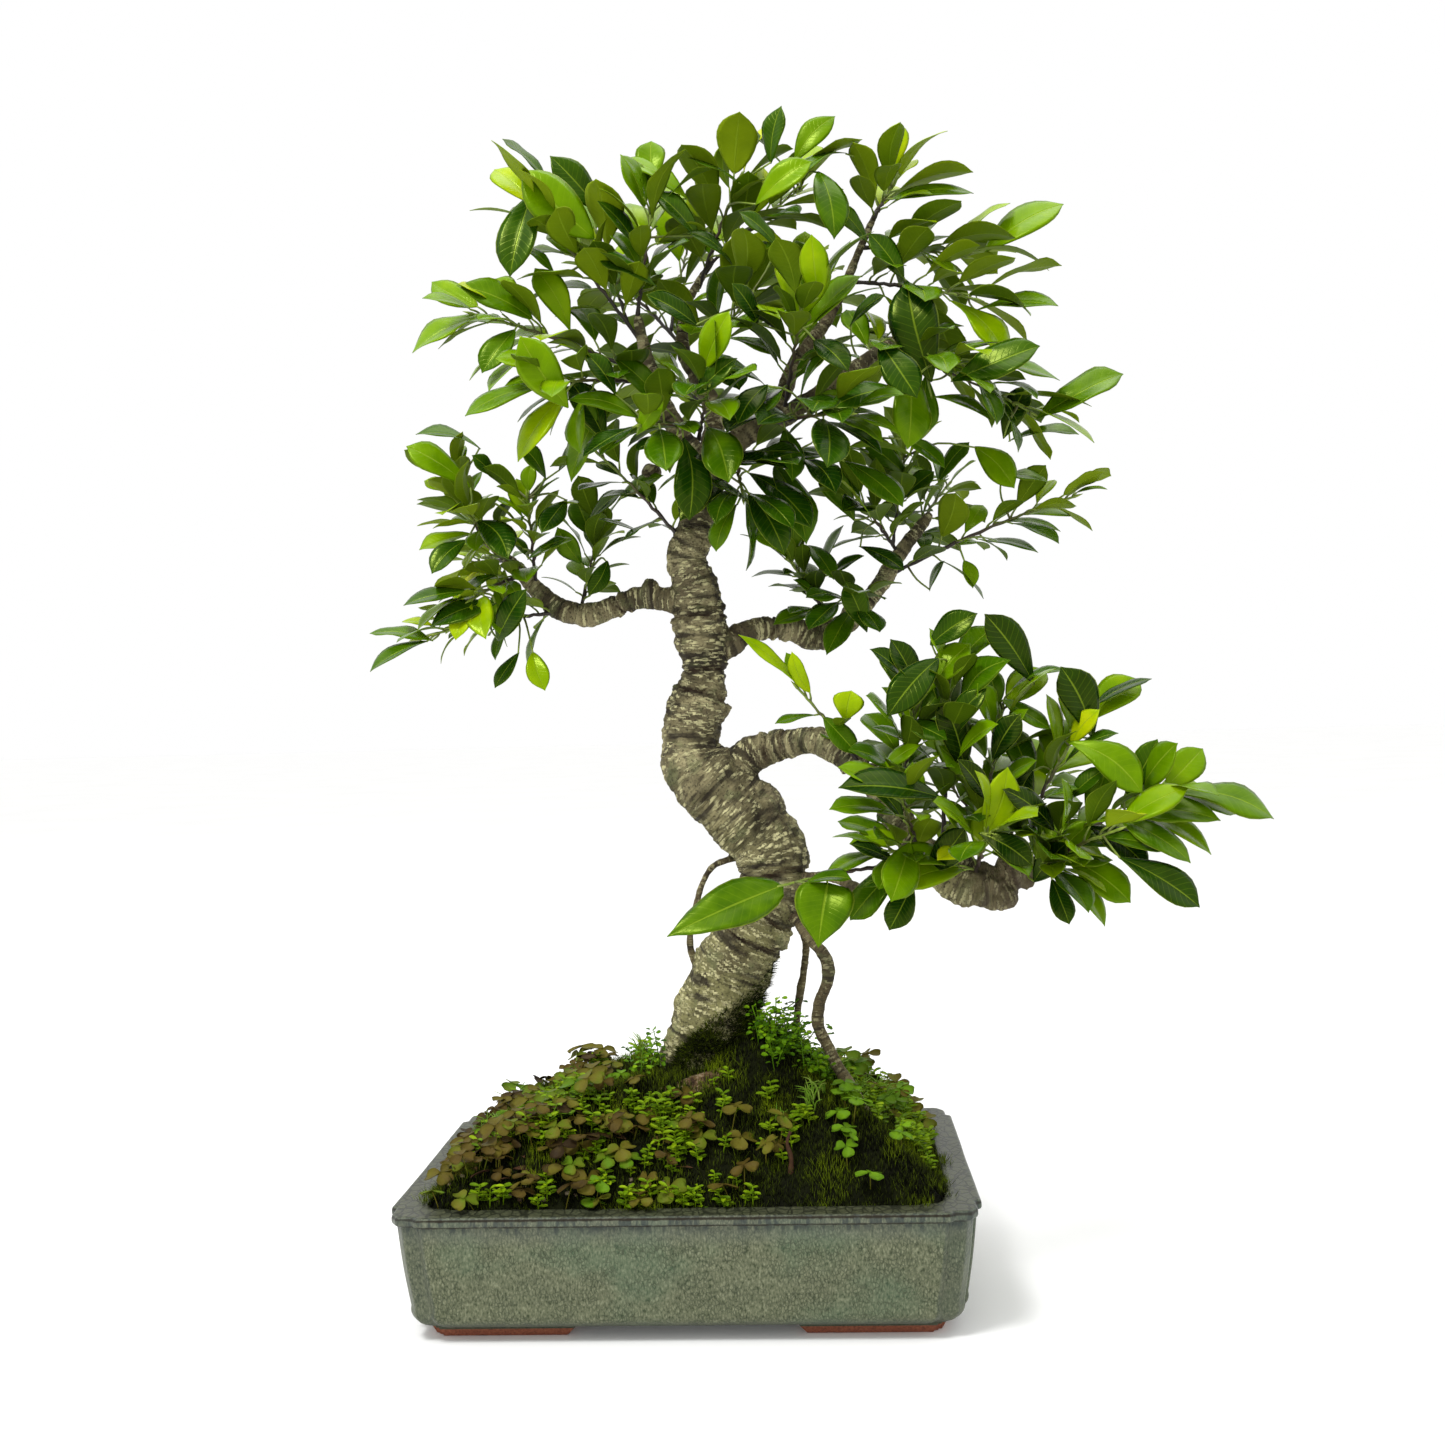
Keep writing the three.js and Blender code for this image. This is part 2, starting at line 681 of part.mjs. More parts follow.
// Tries turns and lifts of one leaf until it clears everything placed before it.
function placeLeaf(curve, number, count, owner, seed) {
  const last = number === count - 1;
  const t = last ? 1 : leavesFrom + leavesSpan * (number / Math.max(count - 1, 1));
  const base = curve.getPoint(t);
  const along = curve.getTangent(t);
  const frame = square(along, skyward);
  for (const share of leafSizes) {
    for (const turn of leafTurns) {
      const angle = number * goldenAngle + seed + turn;
      const spread = last
        ? spreadLast + Math.abs(turn) * 0.2
        : THREE.MathUtils.lerp(spreadFoot, spreadTip, t);
      const outward = frame.side.clone().multiplyScalar(Math.cos(angle));
      outward.addScaledVector(frame.up, Math.sin(angle) * spreadFlattened + spreadLifted);
      outward.normalize();
      const direction = along.clone().multiplyScalar(Math.cos(spread));
      direction.addScaledVector(outward, Math.sin(spread)).normalize();
      const upward = skyward.clone()
        .addScaledVector(along, faceAlong)
        .addScaledVector(outward, faceOutward);
      if (Math.abs(direction.dot(upward.clone().normalize())) > 0.95) upward.set(0.2, -1, 0.1);
      const size = share * (smallestLeaf + leafSizeSpan * scatter(seed, number)) * treeScale;
      const { stalk, blade } = leafRings(base, direction, upward, leafLength * size, leafWidth * size);
      const bladeSolid = toSolid(skin([[centreOf(blade[0])], ...blade]));
      const whole = toSolid(skin([[base], stalk, ...blade]));
      const box = pointBox([base, ...blade.flat()]);
      if (clearOfOthers(whole, box, owner) && clearOfOwnLeaves(bladeSolid, box, owner)) {
        placed.push({ solid: whole, box, owner, blade: false });
        placed.push({ solid: bladeSolid, box, owner, blade: true });
        return whole;
      }
    }
  }
  return null;
}

// ---- Assembly --------------------------------------------------------------

// A root that reaches the ground goes on down into the soil, however tall the tree is.
function grounded({ points, rooted }) {
  if (!rooted) return points;
  const [x, y, , radius] = points.at(-1);
  return [...points, [x, y, (potHeight - rootDepth - collar.z) / treeScale, radius]];
}

const woodSolids = {};
const woodSwollen = {};
for (const [name, part] of Object.entries(wood)) {
  const points = grounded(part);
  woodSwollen[name] = branch(points, part.sides, part.steps, woodGap);
  let solid = branch(points, part.sides, part.steps);
  for (const parent of part.parents) solid = solid.subtract(woodSwollen[parent]);
  woodSolids[name] = biggest(solid);
  const box = solidBox(woodSolids[name]);
  placed.push({ solid: woodSolids[name], box, owner: name, blade: false });
}

let soil = makeSoilBlock();
let moss = makeMossSheet();
for (const swollen of Object.values(woodSwollen)) {
  soil = soil.subtract(swollen);
  moss = moss.subtract(swollen);
}

addPiece('pot', makePot(), glaze);
addPiece('drain_screen_left', makeScreen(drainCentres[0]), screenPlastic);
addPiece('drain_screen_right', makeScreen(drainCentres[1]), screenPlastic);
addPiece('soil', biggest(soil), earth);
addPiece('moss', biggest(moss), mossGreen);
for (const [name, solid] of Object.entries(woodSolids)) addPiece(name, solid, bark);

// Every twig is laid out before any leaf, so that leaves keep clear of all of them.
const layout = Object.entries(shoots).map(([name, list]) => {
  const first = twigCurve(place(list[0].from), place(list[0].to));
  const stems = list.map((item, k) => {
    const curve = k === 0 ? first : twigCurve(first.getPoint(forkShare), place(item.to));
    return { curve, leaves: item.leaves };
  });
  const join = (swell) => stems.map((stem) => twigSolid(stem.curve, swell)).reduce((a, b) => a.add(b));
  return { name, stems, solid: join(0), swollen: join(woodGap) };
});
layout.forEach((shoot, k) => {
  let { solid } = shoot;
  for (const swollen of Object.values(woodSwollen)) solid = solid.subtract(swollen);
  for (const earlier of layout.slice(0, k)) solid = solid.subtract(earlier.swollen);
  shoot.solid = biggest(solid);
  const box = solidBox(shoot.solid);
  placed.push({ solid: shoot.solid, box, owner: shoot.name, blade: false });
});

layout.forEach((shoot, k) => {
  shoot.stems.forEach((stem, stemNumber) => {
    for (let number = stem.leaves - 1; number >= 0; number -= 1) {
      const leaf = placeLeaf(stem.curve, number, stem.leaves, shoot.name, k * shootTurn + stemNumber);
      if (leaf) shoot.solid = shoot.solid.add(leaf);
    }
  });
  addPiece(shoot.name, biggest(shoot.solid), leafGreen);
});

// The origin is the middle of the whole plant's footprint, on the surface that the feet stand on.
const middle = new THREE.Box3().setFromObject(model).getCenter(new THREE.Vector3());
model.position.set(-middle.x, -middle.y, 0);

export default model;
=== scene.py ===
"""A ficus bonsai in a glazed pot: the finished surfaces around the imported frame.

Every sub-assembly of the plant is a class. Its sizes are fields in millimetres, and its methods
build the meshes in metres, in the frame's own axes. A finish gives its colours as red, green and
blue from 0 to 255, and its patterns as cells per metre.
"""

import logging
import math
from dataclasses import dataclass, field
from enum import Enum
from typing import Callable, Iterable, Optional, Sequence, Union

import bpy
import numpy as np
from mathutils import Matrix, Vector, kdtree, noise


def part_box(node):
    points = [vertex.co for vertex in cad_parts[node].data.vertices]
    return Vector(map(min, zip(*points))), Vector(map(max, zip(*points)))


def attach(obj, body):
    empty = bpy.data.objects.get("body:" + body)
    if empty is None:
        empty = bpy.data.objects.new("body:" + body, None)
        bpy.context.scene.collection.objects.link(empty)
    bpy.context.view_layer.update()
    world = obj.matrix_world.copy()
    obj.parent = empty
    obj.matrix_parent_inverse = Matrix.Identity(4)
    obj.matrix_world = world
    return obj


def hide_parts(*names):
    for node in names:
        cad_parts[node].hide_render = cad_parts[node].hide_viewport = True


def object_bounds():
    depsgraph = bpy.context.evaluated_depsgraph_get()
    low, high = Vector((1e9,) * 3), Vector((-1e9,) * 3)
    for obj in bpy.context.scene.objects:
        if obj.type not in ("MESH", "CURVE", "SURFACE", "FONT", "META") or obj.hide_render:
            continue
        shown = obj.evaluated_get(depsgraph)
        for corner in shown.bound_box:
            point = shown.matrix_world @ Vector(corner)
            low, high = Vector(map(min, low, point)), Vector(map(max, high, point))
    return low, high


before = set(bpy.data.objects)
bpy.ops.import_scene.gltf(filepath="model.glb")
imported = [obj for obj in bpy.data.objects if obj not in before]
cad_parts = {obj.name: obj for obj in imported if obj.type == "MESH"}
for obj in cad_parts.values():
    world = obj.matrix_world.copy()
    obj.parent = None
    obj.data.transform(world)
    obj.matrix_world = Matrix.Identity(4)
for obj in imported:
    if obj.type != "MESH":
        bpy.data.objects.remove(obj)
CAD_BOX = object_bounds()

log = logging.getLogger("bonsai")
logging.basicConfig(level=logging.INFO, format="%(name)s: %(message)s")

MM = 0.001
GOLDEN_ANGLE = math.radians(137.5)
FULL_TURN = 2 * math.pi

Point = tuple[float, float, float]
Shade = tuple[int, int, int]
Face = tuple[int, ...]
Row = np.ndarray
Socket = bpy.types.NodeSocket
Material = bpy.types.Material
Piece = bpy.types.Object
Random = np.random.Generator
Feed = Union[Socket, float, tuple]


# ---- Colours and node wiring ----------------------------------------------------------------


def tint(red: int, green: int, blue: int) -> tuple[float, float, float, float]:
    """Turns a display colour into the linear colour that shaders take.

    Args:
        red: Red from 0 to 255.
        green: Green from 0 to 255.
        blue: Blue from 0 to 255.

    Returns:
        The linear colour with full alpha.
    """

    def linear(value: int) -> float:
        """Returns one channel in linear light."""
        share = value / 255.0
        return share / 12.92 if share <= 0.04045 else ((share + 0.055) / 1.055) ** 2.4

    return (linear(red), linear(green), linear(blue), 1.0)


class Wiring:
    """A bench for wiring one procedural material."""

    def __init__(self, name: str) -> None:
        """Starts a material with its surface shader and output.

        Args:
            name: The material's name.
        """
        self.material = bpy.data.materials.new(name)
        self.material.use_nodes = True
        self.tree = self.material.node_tree
        self.tree.nodes.clear()
        self.surface = self.node("BsdfPrincipled")
        self.node("OutputMaterial", Surface=self.surface.outputs["BSDF"])

    def feed(self, slot: Socket, value: Feed) -> None:
        """Links a socket to an input, or sets the input to a constant.

        Args:
            slot: The input.
            value: A socket, a number, a vector or a colour.
        """
        if isinstance(value, bpy.types.NodeSocket):
            self.tree.links.new(value, slot)
        else:
            slot.default_value = value

    def node(self, kind: str, **inputs: Feed) -> bpy.types.Node:
        """Adds a node.

        Args:
            kind: The node's type, without its usual beginning.
            **inputs: What feeds its inputs, with the spaces in their names as underscores.

        Returns:
            The new node.
        """
        node = self.tree.nodes.new("ShaderNode" + kind)
        for name, value in inputs.items():
            self.feed(node.inputs[name.replace("_", " ")], value)
        return node

    def place(self, stretch: Point = (1.0, 1.0, 1.0)) -> Socket:
        """Gives the position on the object, stretched along each axis."""
        return self.stretched(self.node("TexCoord").outputs["Object"], stretch)

    def stretched(self, vector: Socket, stretch: Point) -> Socket:
        """Scales a vector along each axis."""
        return self.node("Mapping", Scale=stretch, Vector=vector).outputs["Vector"]

    def height(self) -> Socket:
        """Gives the height above the ground in metres."""
        return self.node("SeparateXYZ", Vector=self.place()).outputs["Z"]

    def mark(self, name: str, part: str = "Fac") -> Socket:
        """Reads a value stored on the mesh.

        Args:
            name: The stored attribute's name.
            part: The output to read, Fac or Vector.

        Returns:
            The socket that gives the value.
        """
        reader = self.node("Attribute")
        reader.attribute_name = name
        return reader.outputs[part]

    def grain(self, vector: Socket, scale: float, detail: float = 4.0) -> Socket:
        """Makes a cloudy value with cells per metre and octaves of finer noise."""
        return self.node("TexNoise", Vector=vector, Scale=scale, Detail=detail).outputs["Fac"]

    def patches(self, vector: Socket, scale: float, detail: float, low: float, high: float) -> Socket:
        """Makes soft-edged patches, which fade out where the cloudy value falls from high to low."""
        return self.band(self.grain(vector, scale, detail), low, high)

    def cracks(self, vector: Socket, scale: float, inner: float, outer: float) -> Socket:
        """Makes a net of cracks along the walls of a cell pattern.

        Args:
            vector: Where the pattern is read.
            scale: Cells per metre.
            inner: Distance from the wall where a crack starts to fade.
            outer: Distance where it ends.

        Returns:
            A socket that is 1 in the cracks.
        """
        cells = self.node("TexVoronoi", Vector=vector, Scale=scale)
        cells.feature = "DISTANCE_TO_EDGE"
        return self.inverse(self.band(cells.outputs["Distance"], inner, outer))

    def spots(self, vector: Socket, scale: float, reach: float) -> Socket:
        """Makes scattered soft spots, one in each cell, whose radius is a share of the cell."""
        cells = self.node("TexVoronoi", Vector=vector, Scale=scale)
        return self.inverse(self.band(cells.outputs["Distance"], reach * 0.6, reach))

    def sums(self, operation: str, *values: Feed) -> Socket:
        """Does one sum.

        Args:
            operation: The sum's name.
            *values: Sockets or numbers.

        Returns:
            The result socket.
        """
        node = self.node("Math")
        node.operation = operation
        for slot, value in zip(node.inputs, values):
            self.feed(slot, value)
        return node.outputs["Value"]

    def scaled(self, value: Feed, factor: Feed, shift: Feed = 0.0) -> Socket:
        """Gives value times factor plus shift."""
        return self.sums("MULTIPLY_ADD", value, factor, shift)

    def inverse(self, value: Socket) -> Socket:
        """Gives 1 minus the value."""
        return self.sums("SUBTRACT", 1.0, value)

    def distance(self, value: Socket, middle: float) -> Socket:
        """Gives how far the value is from a middle."""
        return self.sums("ABSOLUTE", self.sums("SUBTRACT", value, middle))

    def band(self, value: Socket, low: float, high: float) -> Socket:
        """Maps a value smoothly.

        Args:
            value: The value to map.
            low: Where the result is 0.
            high: Where the result is 1.

        Returns:
            The mapped socket.
        """
        node = self.node("MapRange", Value=value, From_Min=low, From_Max=high)
        node.interpolation_type = "SMOOTHSTEP"
        return node.outputs["Result"]

    def ramp(self, value: Socket, *stops: tuple[float, Shade]) -> Socket:
        """Colours a value.

        Args:
            value: The value from 0 to 1.
            *stops: Places and colours, lowest first.

        Returns:
            The colour socket.
        """
        node = self.node("ValToRGB", Fac=value)
        points = node.color_ramp.elements
        while len(points) < len(stops):
            points.new(0.5)
        for point, (where, shade) in zip(points, stops):
            point.position = where
            point.color = tint(*shade)
        return node.outputs["Color"]

    def lay(self, base: Socket, over: Feed, strength: float, *shares: Socket) -> Socket:
        """Lays one colour over another.

        Args:
            base: The lower colour.
            over: The upper colour, a socket or red, green and blue.
            strength: How much of it shows at most.
            *shares: Where it shows; they are multiplied.

        Returns:
            The mixed colour socket.
        """
        share = shares[0]
        for other in (*shares[1:], strength):
            share = self.sums("MULTIPLY", share, other)
        node = self.node("Mix")
        node.data_type = "RGBA"
        self.feed(node.inputs[0], share)
        self.feed(node.inputs[6], base)
        self.feed(node.inputs[7], tint(*over) if isinstance(over, tuple) else over)
        return node.outputs[2]

    def relief(self, height: Socket, distance: float, strength: float = 1.0) -> None:
        """Raises the surface; a height of 1 stands for the distance in metres."""
        bump = self.node("Bump", Height=height, Distance=distance, Strength=strength)
        self.feed(self.surface.inputs["Normal"], bump.outputs["Normal"])

    def finish(self, colour: Socket, roughness: Feed, **constants: Feed) -> Material:
        """Sets the surface's colour, roughness and constants.

        Args:
            colour: The colour socket.
            roughness: A number or a value socket.
            **constants: Other shader inputs, with spaces written as underscores.

        Returns:
            The finished material.
        """
        for name, value in (("Base Color", colour), ("Roughness", roughness), *constants.items()):
            self.feed(self.surface.inputs[name.replace("_", " ")], value)
        return self.material


# ---- Finishes -------------------------------------------------------------------------------


@dataclass(frozen=True)
class CeladonGlaze:
    """A mottled grey-green glaze that breaks brown on the lip and crackles on the rim."""

    rim_top: float
    lip_bottom: float
    foot_top: float
    streaks_per_metre: float = 760.0
    cells_per_metre: float = 480.0
    crackle_per_metre: float = 150.0
    dimple_depth: float = 0.0003

    def material(self) -> Material:
        """Wires the glaze.

        Returns:
            The glaze material.
        """
        w = Wiring("celadon_glaze")
        streaks = w.grain(w.place((1.0, 1.0, 0.5)), self.streaks_per_metre)
        stops = ((0.32, (52, 58, 40)), (0.43, (88, 92, 70)), (0.56, (104, 107, 84)), (0.70, (126, 129, 104)))
        base = w.ramp(streaks, *stops)
        pools = w.patches(w.place((1.0, 1.0, 1.6)), 14.0, 3.0, 0.45, 0.68)
        base = w.lay(base, (70, 104, 82), 0.26, pools)
        cells = w.cracks(w.place((1.0, 1.0, 0.55)), self.cells_per_metre, 0.0, 0.16)
        worn = w.patches(w.place(), 70.0, 4.0, 0.30, 0.62)
        base = w.lay(base, (46, 52, 38), 0.74, cells, worn)
        z = w.height()
        wander = w.scaled(w.grain(w.place(), 90.0, 2.0), 0.006, z)
        upper = w.band(wander, self.lip_bottom - 0.014, self.lip_bottom + 0.001)
        base = w.lay(base, (92, 96, 92), 0.35, upper)
        drips = w.patches(w.place((1.0, 1.0, 0.22)), 240.0, 3.0, 0.47, 0.60)
        below_lip = w.band(wander, self.lip_bottom - 0.004, self.lip_bottom + 0.002)
        base = w.lay(base, (44, 50, 54), 0.7, drips, below_lip)
        lip_low = w.distance(z, self.lip_bottom + 0.0003)
        lip_high = w.distance(z, self.rim_top - 0.0016)
        near = w.sums("MINIMUM", lip_low, w.sums("MULTIPLY", lip_high, 0.9))
        broken = w.scaled(w.grain(w.place(), 240.0, 3.0), 0.0016, near)
        edge = w.inverse(w.band(broken, 0.0010, 0.0021))
        base = w.lay(base, (30, 18, 12), 0.95, edge, w.mark("outer_skin"))
        base = w.lay(base, (60, 66, 64), 0.6, w.mark("rib"))
        top = w.mark("rim_face")
        base = w.lay(base, w.ramp(streaks, (0.3, (34, 37, 22)), (0.7, (84, 86, 58))), 0.75, top)
        crackle = w.cracks(w.place((1.0, 0.6, 1.0)), self.crackle_per_metre, 0.03, 0.11)
        base = w.lay(base, (30, 32, 24), 0.85, top, crackle)
        soil_stain = w.patches(w.place(), 60.0, 5.0, 0.52, 0.72)
        base = w.lay(base, (52, 52, 36), 0.4, top, soil_stain)
        # Darker towards the bottom: painted shade where the wall rounds under towards the floor.
        low = w.inverse(w.band(wander, self.foot_top + 0.004, self.foot_top + 0.011))
        base = w.lay(base, (50, 56, 48), 0.7, low)
        w.relief(w.scaled(crackle, -0.5, streaks), self.dimple_depth, 0.55)
        rough = w.scaled(streaks, 0.2, 0.3)
        return w.finish(base, rough, Specular_IOR_Level=0.28, Specular_Tint=tint(225, 240, 215))


@dataclass(frozen=True)
class FiredClay:
    """Bare red-brown stoneware, where the feet were wiped clean of glaze."""

    specks_per_metre: float = 700.0
    speck_depth: float = 0.0003

    def material(self) -> Material:
        """Wires the clay.

        Returns:
            The clay material.
        """
        w = Wiring("fired_clay")
        speck = w.grain(w.place(), self.specks_per_metre, 6.0)
        w.relief(speck, self.speck_depth, 0.6)
        return w.finish(w.ramp(speck, (0.3, (96, 50, 32)), (0.5, (132, 72, 48)), (0.75, (150, 92, 64))), 0.85)


@dataclass(frozen=True)
class FicusBark:
    """Pale beige bark with level lenticels and darker patches, darker towards the crown."""

    low_z: float
    high_z: float
    patches_per_metre: float = 34.0
    lenticels_per_metre: float = 112.0
    lenticel_reach: float = 0.50
    lenticel_shake: Point = (0.0025, 0.0025, 0.0055)
    flattening: float = 4.4
    relief_depth: float = 0.0016

    def lenticels(self, w: Wiring, round_trunk: Socket, level: Socket) -> Socket:
        """Scatters short level dashes of uneven shape.

        Args:
            w: The wiring bench.
            round_trunk: The place around and along the limb.
            level: The same place, stretched so that spots turn into level dashes.

        Returns:
            A socket that is 1 on the dashes.
        """
        shaken = w.node("VectorMath")
        shaken.operation = "MULTIPLY_ADD"
        cloud = w.node("TexNoise", Vector=round_trunk, Scale=260.0)
        for slot, value in zip(shaken.inputs, (cloud.outputs["Color"], self.lenticel_shake, level)):
            w.feed(slot, value)
        return w.spots(shaken.outputs["Vector"], self.lenticels_per_metre, self.lenticel_reach)

    def material(self) -> Material:
        """Wires the bark.

        Returns:
            The bark material.
        """
        w = Wiring("ficus_bark")
        round_trunk = w.mark("bark_place", "Vector")
        level = w.stretched(round_trunk, (1.0, 1.0, self.flattening))
        mottle = w.grain(round_trunk, self.patches_per_metre, 5.0)
        dark = ((0.28, (64, 61, 38)), (0.42, (106, 103, 66)))
        pale = ((0.56, (136, 132, 88)), (0.72, (168, 164, 118)))
        base = w.ramp(mottle, *dark, *pale)
        wander = w.scaled(w.grain(w.place(), 16.0, 3.0), 0.16, w.height())
        old = w.ramp(mottle, (0.36, (38, 30, 25)), (0.48, (104, 95, 70)), (0.66, (168, 158, 120)))
        base = w.lay(base, old, 0.8, w.band(wander, self.low_z, self.high_z))
        thin = w.mark("slender")
        blots = w.patches(w.stretched(round_trunk, (1.0, 1.0, 1.4)), 25.0, 4.0, 0.52, 0.63)
        base = w.lay(base, (62, 50, 37), 0.6, blots)
        base = w.lay(base, w.ramp(mottle, (0.3, (44, 33, 24)), (0.7, (98, 82, 58))), 0.85, thin)
        dark_dashes = w.patches(w.stretched(round_trunk, (1.0, 1.0, 5.5)), 120.0, 4.0, 0.56, 0.66)
        base = w.lay(base, (48, 40, 26), 0.75, dark_dashes)
        crowded = w.patches(round_trunk, 40.0, 2.0, 0.34, 0.44)
        dashes = w.sums("MULTIPLY", self.lenticels(w, round_trunk, level), crowded)
        dashes = w.sums("MULTIPLY", dashes, w.scaled(thin, -0.7, 1.0))
        base = w.lay(base, (200, 194, 146), 0.85, dashes)
        base = w.lay(base, (104, 112, 72), 0.4, w.patches(round_trunk, 70.0, 4.0, 0.56, 0.68))
        base = w.lay(base, (52, 47, 33), 0.75, w.patches(w.place(), 480.0, 5.0, 0.56, 0.66))
        base = w.lay(base, (36, 29, 20), 0.85, w.mark("groove"))
        gnarled = w.ramp(mottle, (0.3, (40, 33, 25)), (0.7, (104, 90, 68)))
        base = w.lay(base, gnarled, 0.7, w.mark("gnarl"))
        base = w.lay(base, (50, 34, 22), 0.8, w.mark("scar"))
        fine = w.sums("MULTIPLY", w.grain(level, 420.0, 5.0), 0.8)
        w.relief(w.scaled(dashes, 0.7, fine), self.relief_depth, 0.9)
        return w.finish(base, 0.82, Specular_IOR_Level=0.25)


class Blade(Enum):
    """The two faces of a leaf."""

    UPPER = "leaf_upper"
    UNDER = "leaf_under"


@dataclass(frozen=True)
class WaxyLeaf:
    """A glossy ficus leaf with a pale midrib, side veins and a thin pale margin."""

    face: Blade
    veins: float = 13.0
    vein_slant: float = -0.16
    relief_depth: float = 0.0006

    def greens(self) -> tuple[tuple[float, Shade], ...]:
        """Lists this face's colours.

        Returns:
            Places and colours, from dark leaves (older, and painted shade deep in the crown) to young ones.
        """
        if self.face is Blade.UNDER:
            return ((0.0, (40, 60, 12)), (0.5, (78, 102, 12)), (1.0, (128, 148, 16)))
        return (
            (0.0, (8, 28, 4)), (0.22, (22, 54, 4)), (0.45, (56, 92, 2)),
            (0.68, (100, 136, 0)), (0.88, (142, 168, 2)), (1.0, (180, 188, 6)),
        )

    def material(self) -> Material:
        """Wires one face of the leaf.

        Returns:
            The leaf material.
        """
        w = Wiring(self.face.value)
        upper = self.face is Blade.UPPER
        across = w.sums("ABSOLUTE", w.mark("across"))
        cloud = w.grain(w.place(), 55.0, 3.0)
        shift = w.scaled(w.sums("SUBTRACT", cloud, 0.5), 0.34, w.mark("tone"))
        base = w.ramp(shift, *self.greens())
        slant = w.scaled(across, self.vein_slant, w.mark("along"))
        wave = w.sums("FRACT", w.sums("MULTIPLY", slant, self.veins))
        vein = w.inverse(w.band(w.distance(wave, 0.5), 0.0, 0.10))
        rib = w.inverse(w.band(across, 0.02, 0.065))
        base = w.lay(base, (128, 156, 30) if upper else (134, 156, 54), 0.12, vein)
        base = w.lay(base, (140, 164, 40), 0.42, rib)
        base = w.lay(base, (150, 170, 50), 0.6, w.band(across, 0.93, 0.985))
        # Small pale specks on the blade: painted highlight, glints of the gloss.
        base = w.lay(base, (150, 166, 104), 0.3, w.patches(w.place(), 900.0, 2.0, 0.74, 0.80))
        lift = w.scaled(rib, -0.9, w.sums("MULTIPLY", vein, -0.12))
        lift = w.scaled(w.grain(w.place(), 420.0, 3.0), 0.22, lift)
        w.relief(lift if upper else w.sums("MULTIPLY", lift, -1.0), self.relief_depth, 0.6)
        rough, gloss = (0.12, 0.36) if upper else (0.5, 0.12)
        gloss_tint = tint(222, 244, 100)
        return w.finish(base, w.scaled(cloud, 0.2, rough), Specular_IOR_Level=gloss, Specular_Tint=gloss_tint)


@dataclass(frozen=True)
class GreenStalk:
    """Young bark: brown at the foot of a twig, yellow-green in leaf stalks and buds."""

    grain_per_metre: float = 380.0
    relief_depth: float = 0.0004

    def material(self) -> Material:
        """Wires the stalk.

        Returns:
            The stalk material.
        """
        w = Wiring("green_stalk")
        rough_skin = w.grain(w.place(), self.grain_per_metre)
        shift = w.scaled(w.sums("SUBTRACT", rough_skin, 0.5), 0.35, w.mark("youth"))
        woody = ((0.0, (36, 26, 20)), (0.35, (62, 46, 32)), (0.6, (84, 88, 34)))
        green = ((0.85, (116, 138, 42)), (1.0, (140, 158, 50)))
        w.relief(rough_skin, self.relief_depth, 0.6)
        return w.finish(w.ramp(shift, *woody, *green), 0.52)


@dataclass(frozen=True)
class GroundCover:
    """Moss, weeds, earth or litter: a matt, cloudy mix of related colours."""

    name: str
    cloud_per_metre: float
    grain_per_metre: float
    roughness: float
    relief: float
    colours: tuple[Shade, ...]
    own_tone: bool = True

    def material(self) -> Material:
        """Wires the cover.

        Returns:
            The cover's material.
        """
        w = Wiring(self.name)
        cloud = w.grain(w.place(), self.cloud_per_metre, 5.0)
        fine = w.grain(w.place(), self.grain_per_metre)
        if self.own_tone:
            low, high = 0.0, 1.0
            value = w.scaled(w.sums("SUBTRACT", cloud, 0.5), 0.5, w.mark("tone"))
        else:
            low, high = 0.3, 0.7
            value = w.scaled(w.sums("SUBTRACT", fine, 0.5), 0.5, cloud)
        stops = zip(np.linspace(low, high, len(self.colours)), self.colours)
        w.relief(fine, self.relief, 0.8)
        return w.finish(w.ramp(value, *stops), self.roughness, Specular_IOR_Level=0.1)


# ---- Mesh building --------------------------------------------------------------------------


def unit(vector: Row) -> Row:
    """Scales a vector to length 1."""
    return vector / max(float(np.linalg.norm(vector)), 1e-9)


def grid_faces(rings: int, around: int) -> list[Face]:
    """Lists the quads between rings of points that are listed one after another.

    Args:
        rings: Number of rings.
        around: Points in a ring.

    Returns:
        The quads.
    """
    faces = []
    for low in range(0, (rings - 1) * around, around):
        for k in range(around):
            after = (k + 1) % around
            faces.append((low + k, low + after, low + around + after, low + around + k))
    return faces


def capped_faces(rings: int, around: int) -> list[Face]:
    """Lists the quads of grid_faces, then a face over the first ring and one over the last."""
    last = (rings - 1) * around
    return [*grid_faces(rings, around), tuple(range(around))[::-1], tuple(range(last, last + around))]


def rounded(before: Row, here: Row, after: Row, reach: float, steps: int) -> list[Row]:
    """Rounds one corner of an outline.

    Args:
        before: The corner before it.
        here: The corner.
        after: The corner after it.
        reach: How far from the corner the rounding starts.
        steps: Number of points in its place.

    Returns:
        The points of the rounding.
    """
    start = here + unit(before - here) * reach
    end = here + unit(after - here) * reach
    return [(1 - t) ** 2 * start + 2 * t * (1 - t) * here + t**2 * end for t in np.linspace(0.0, 1.0, steps)]


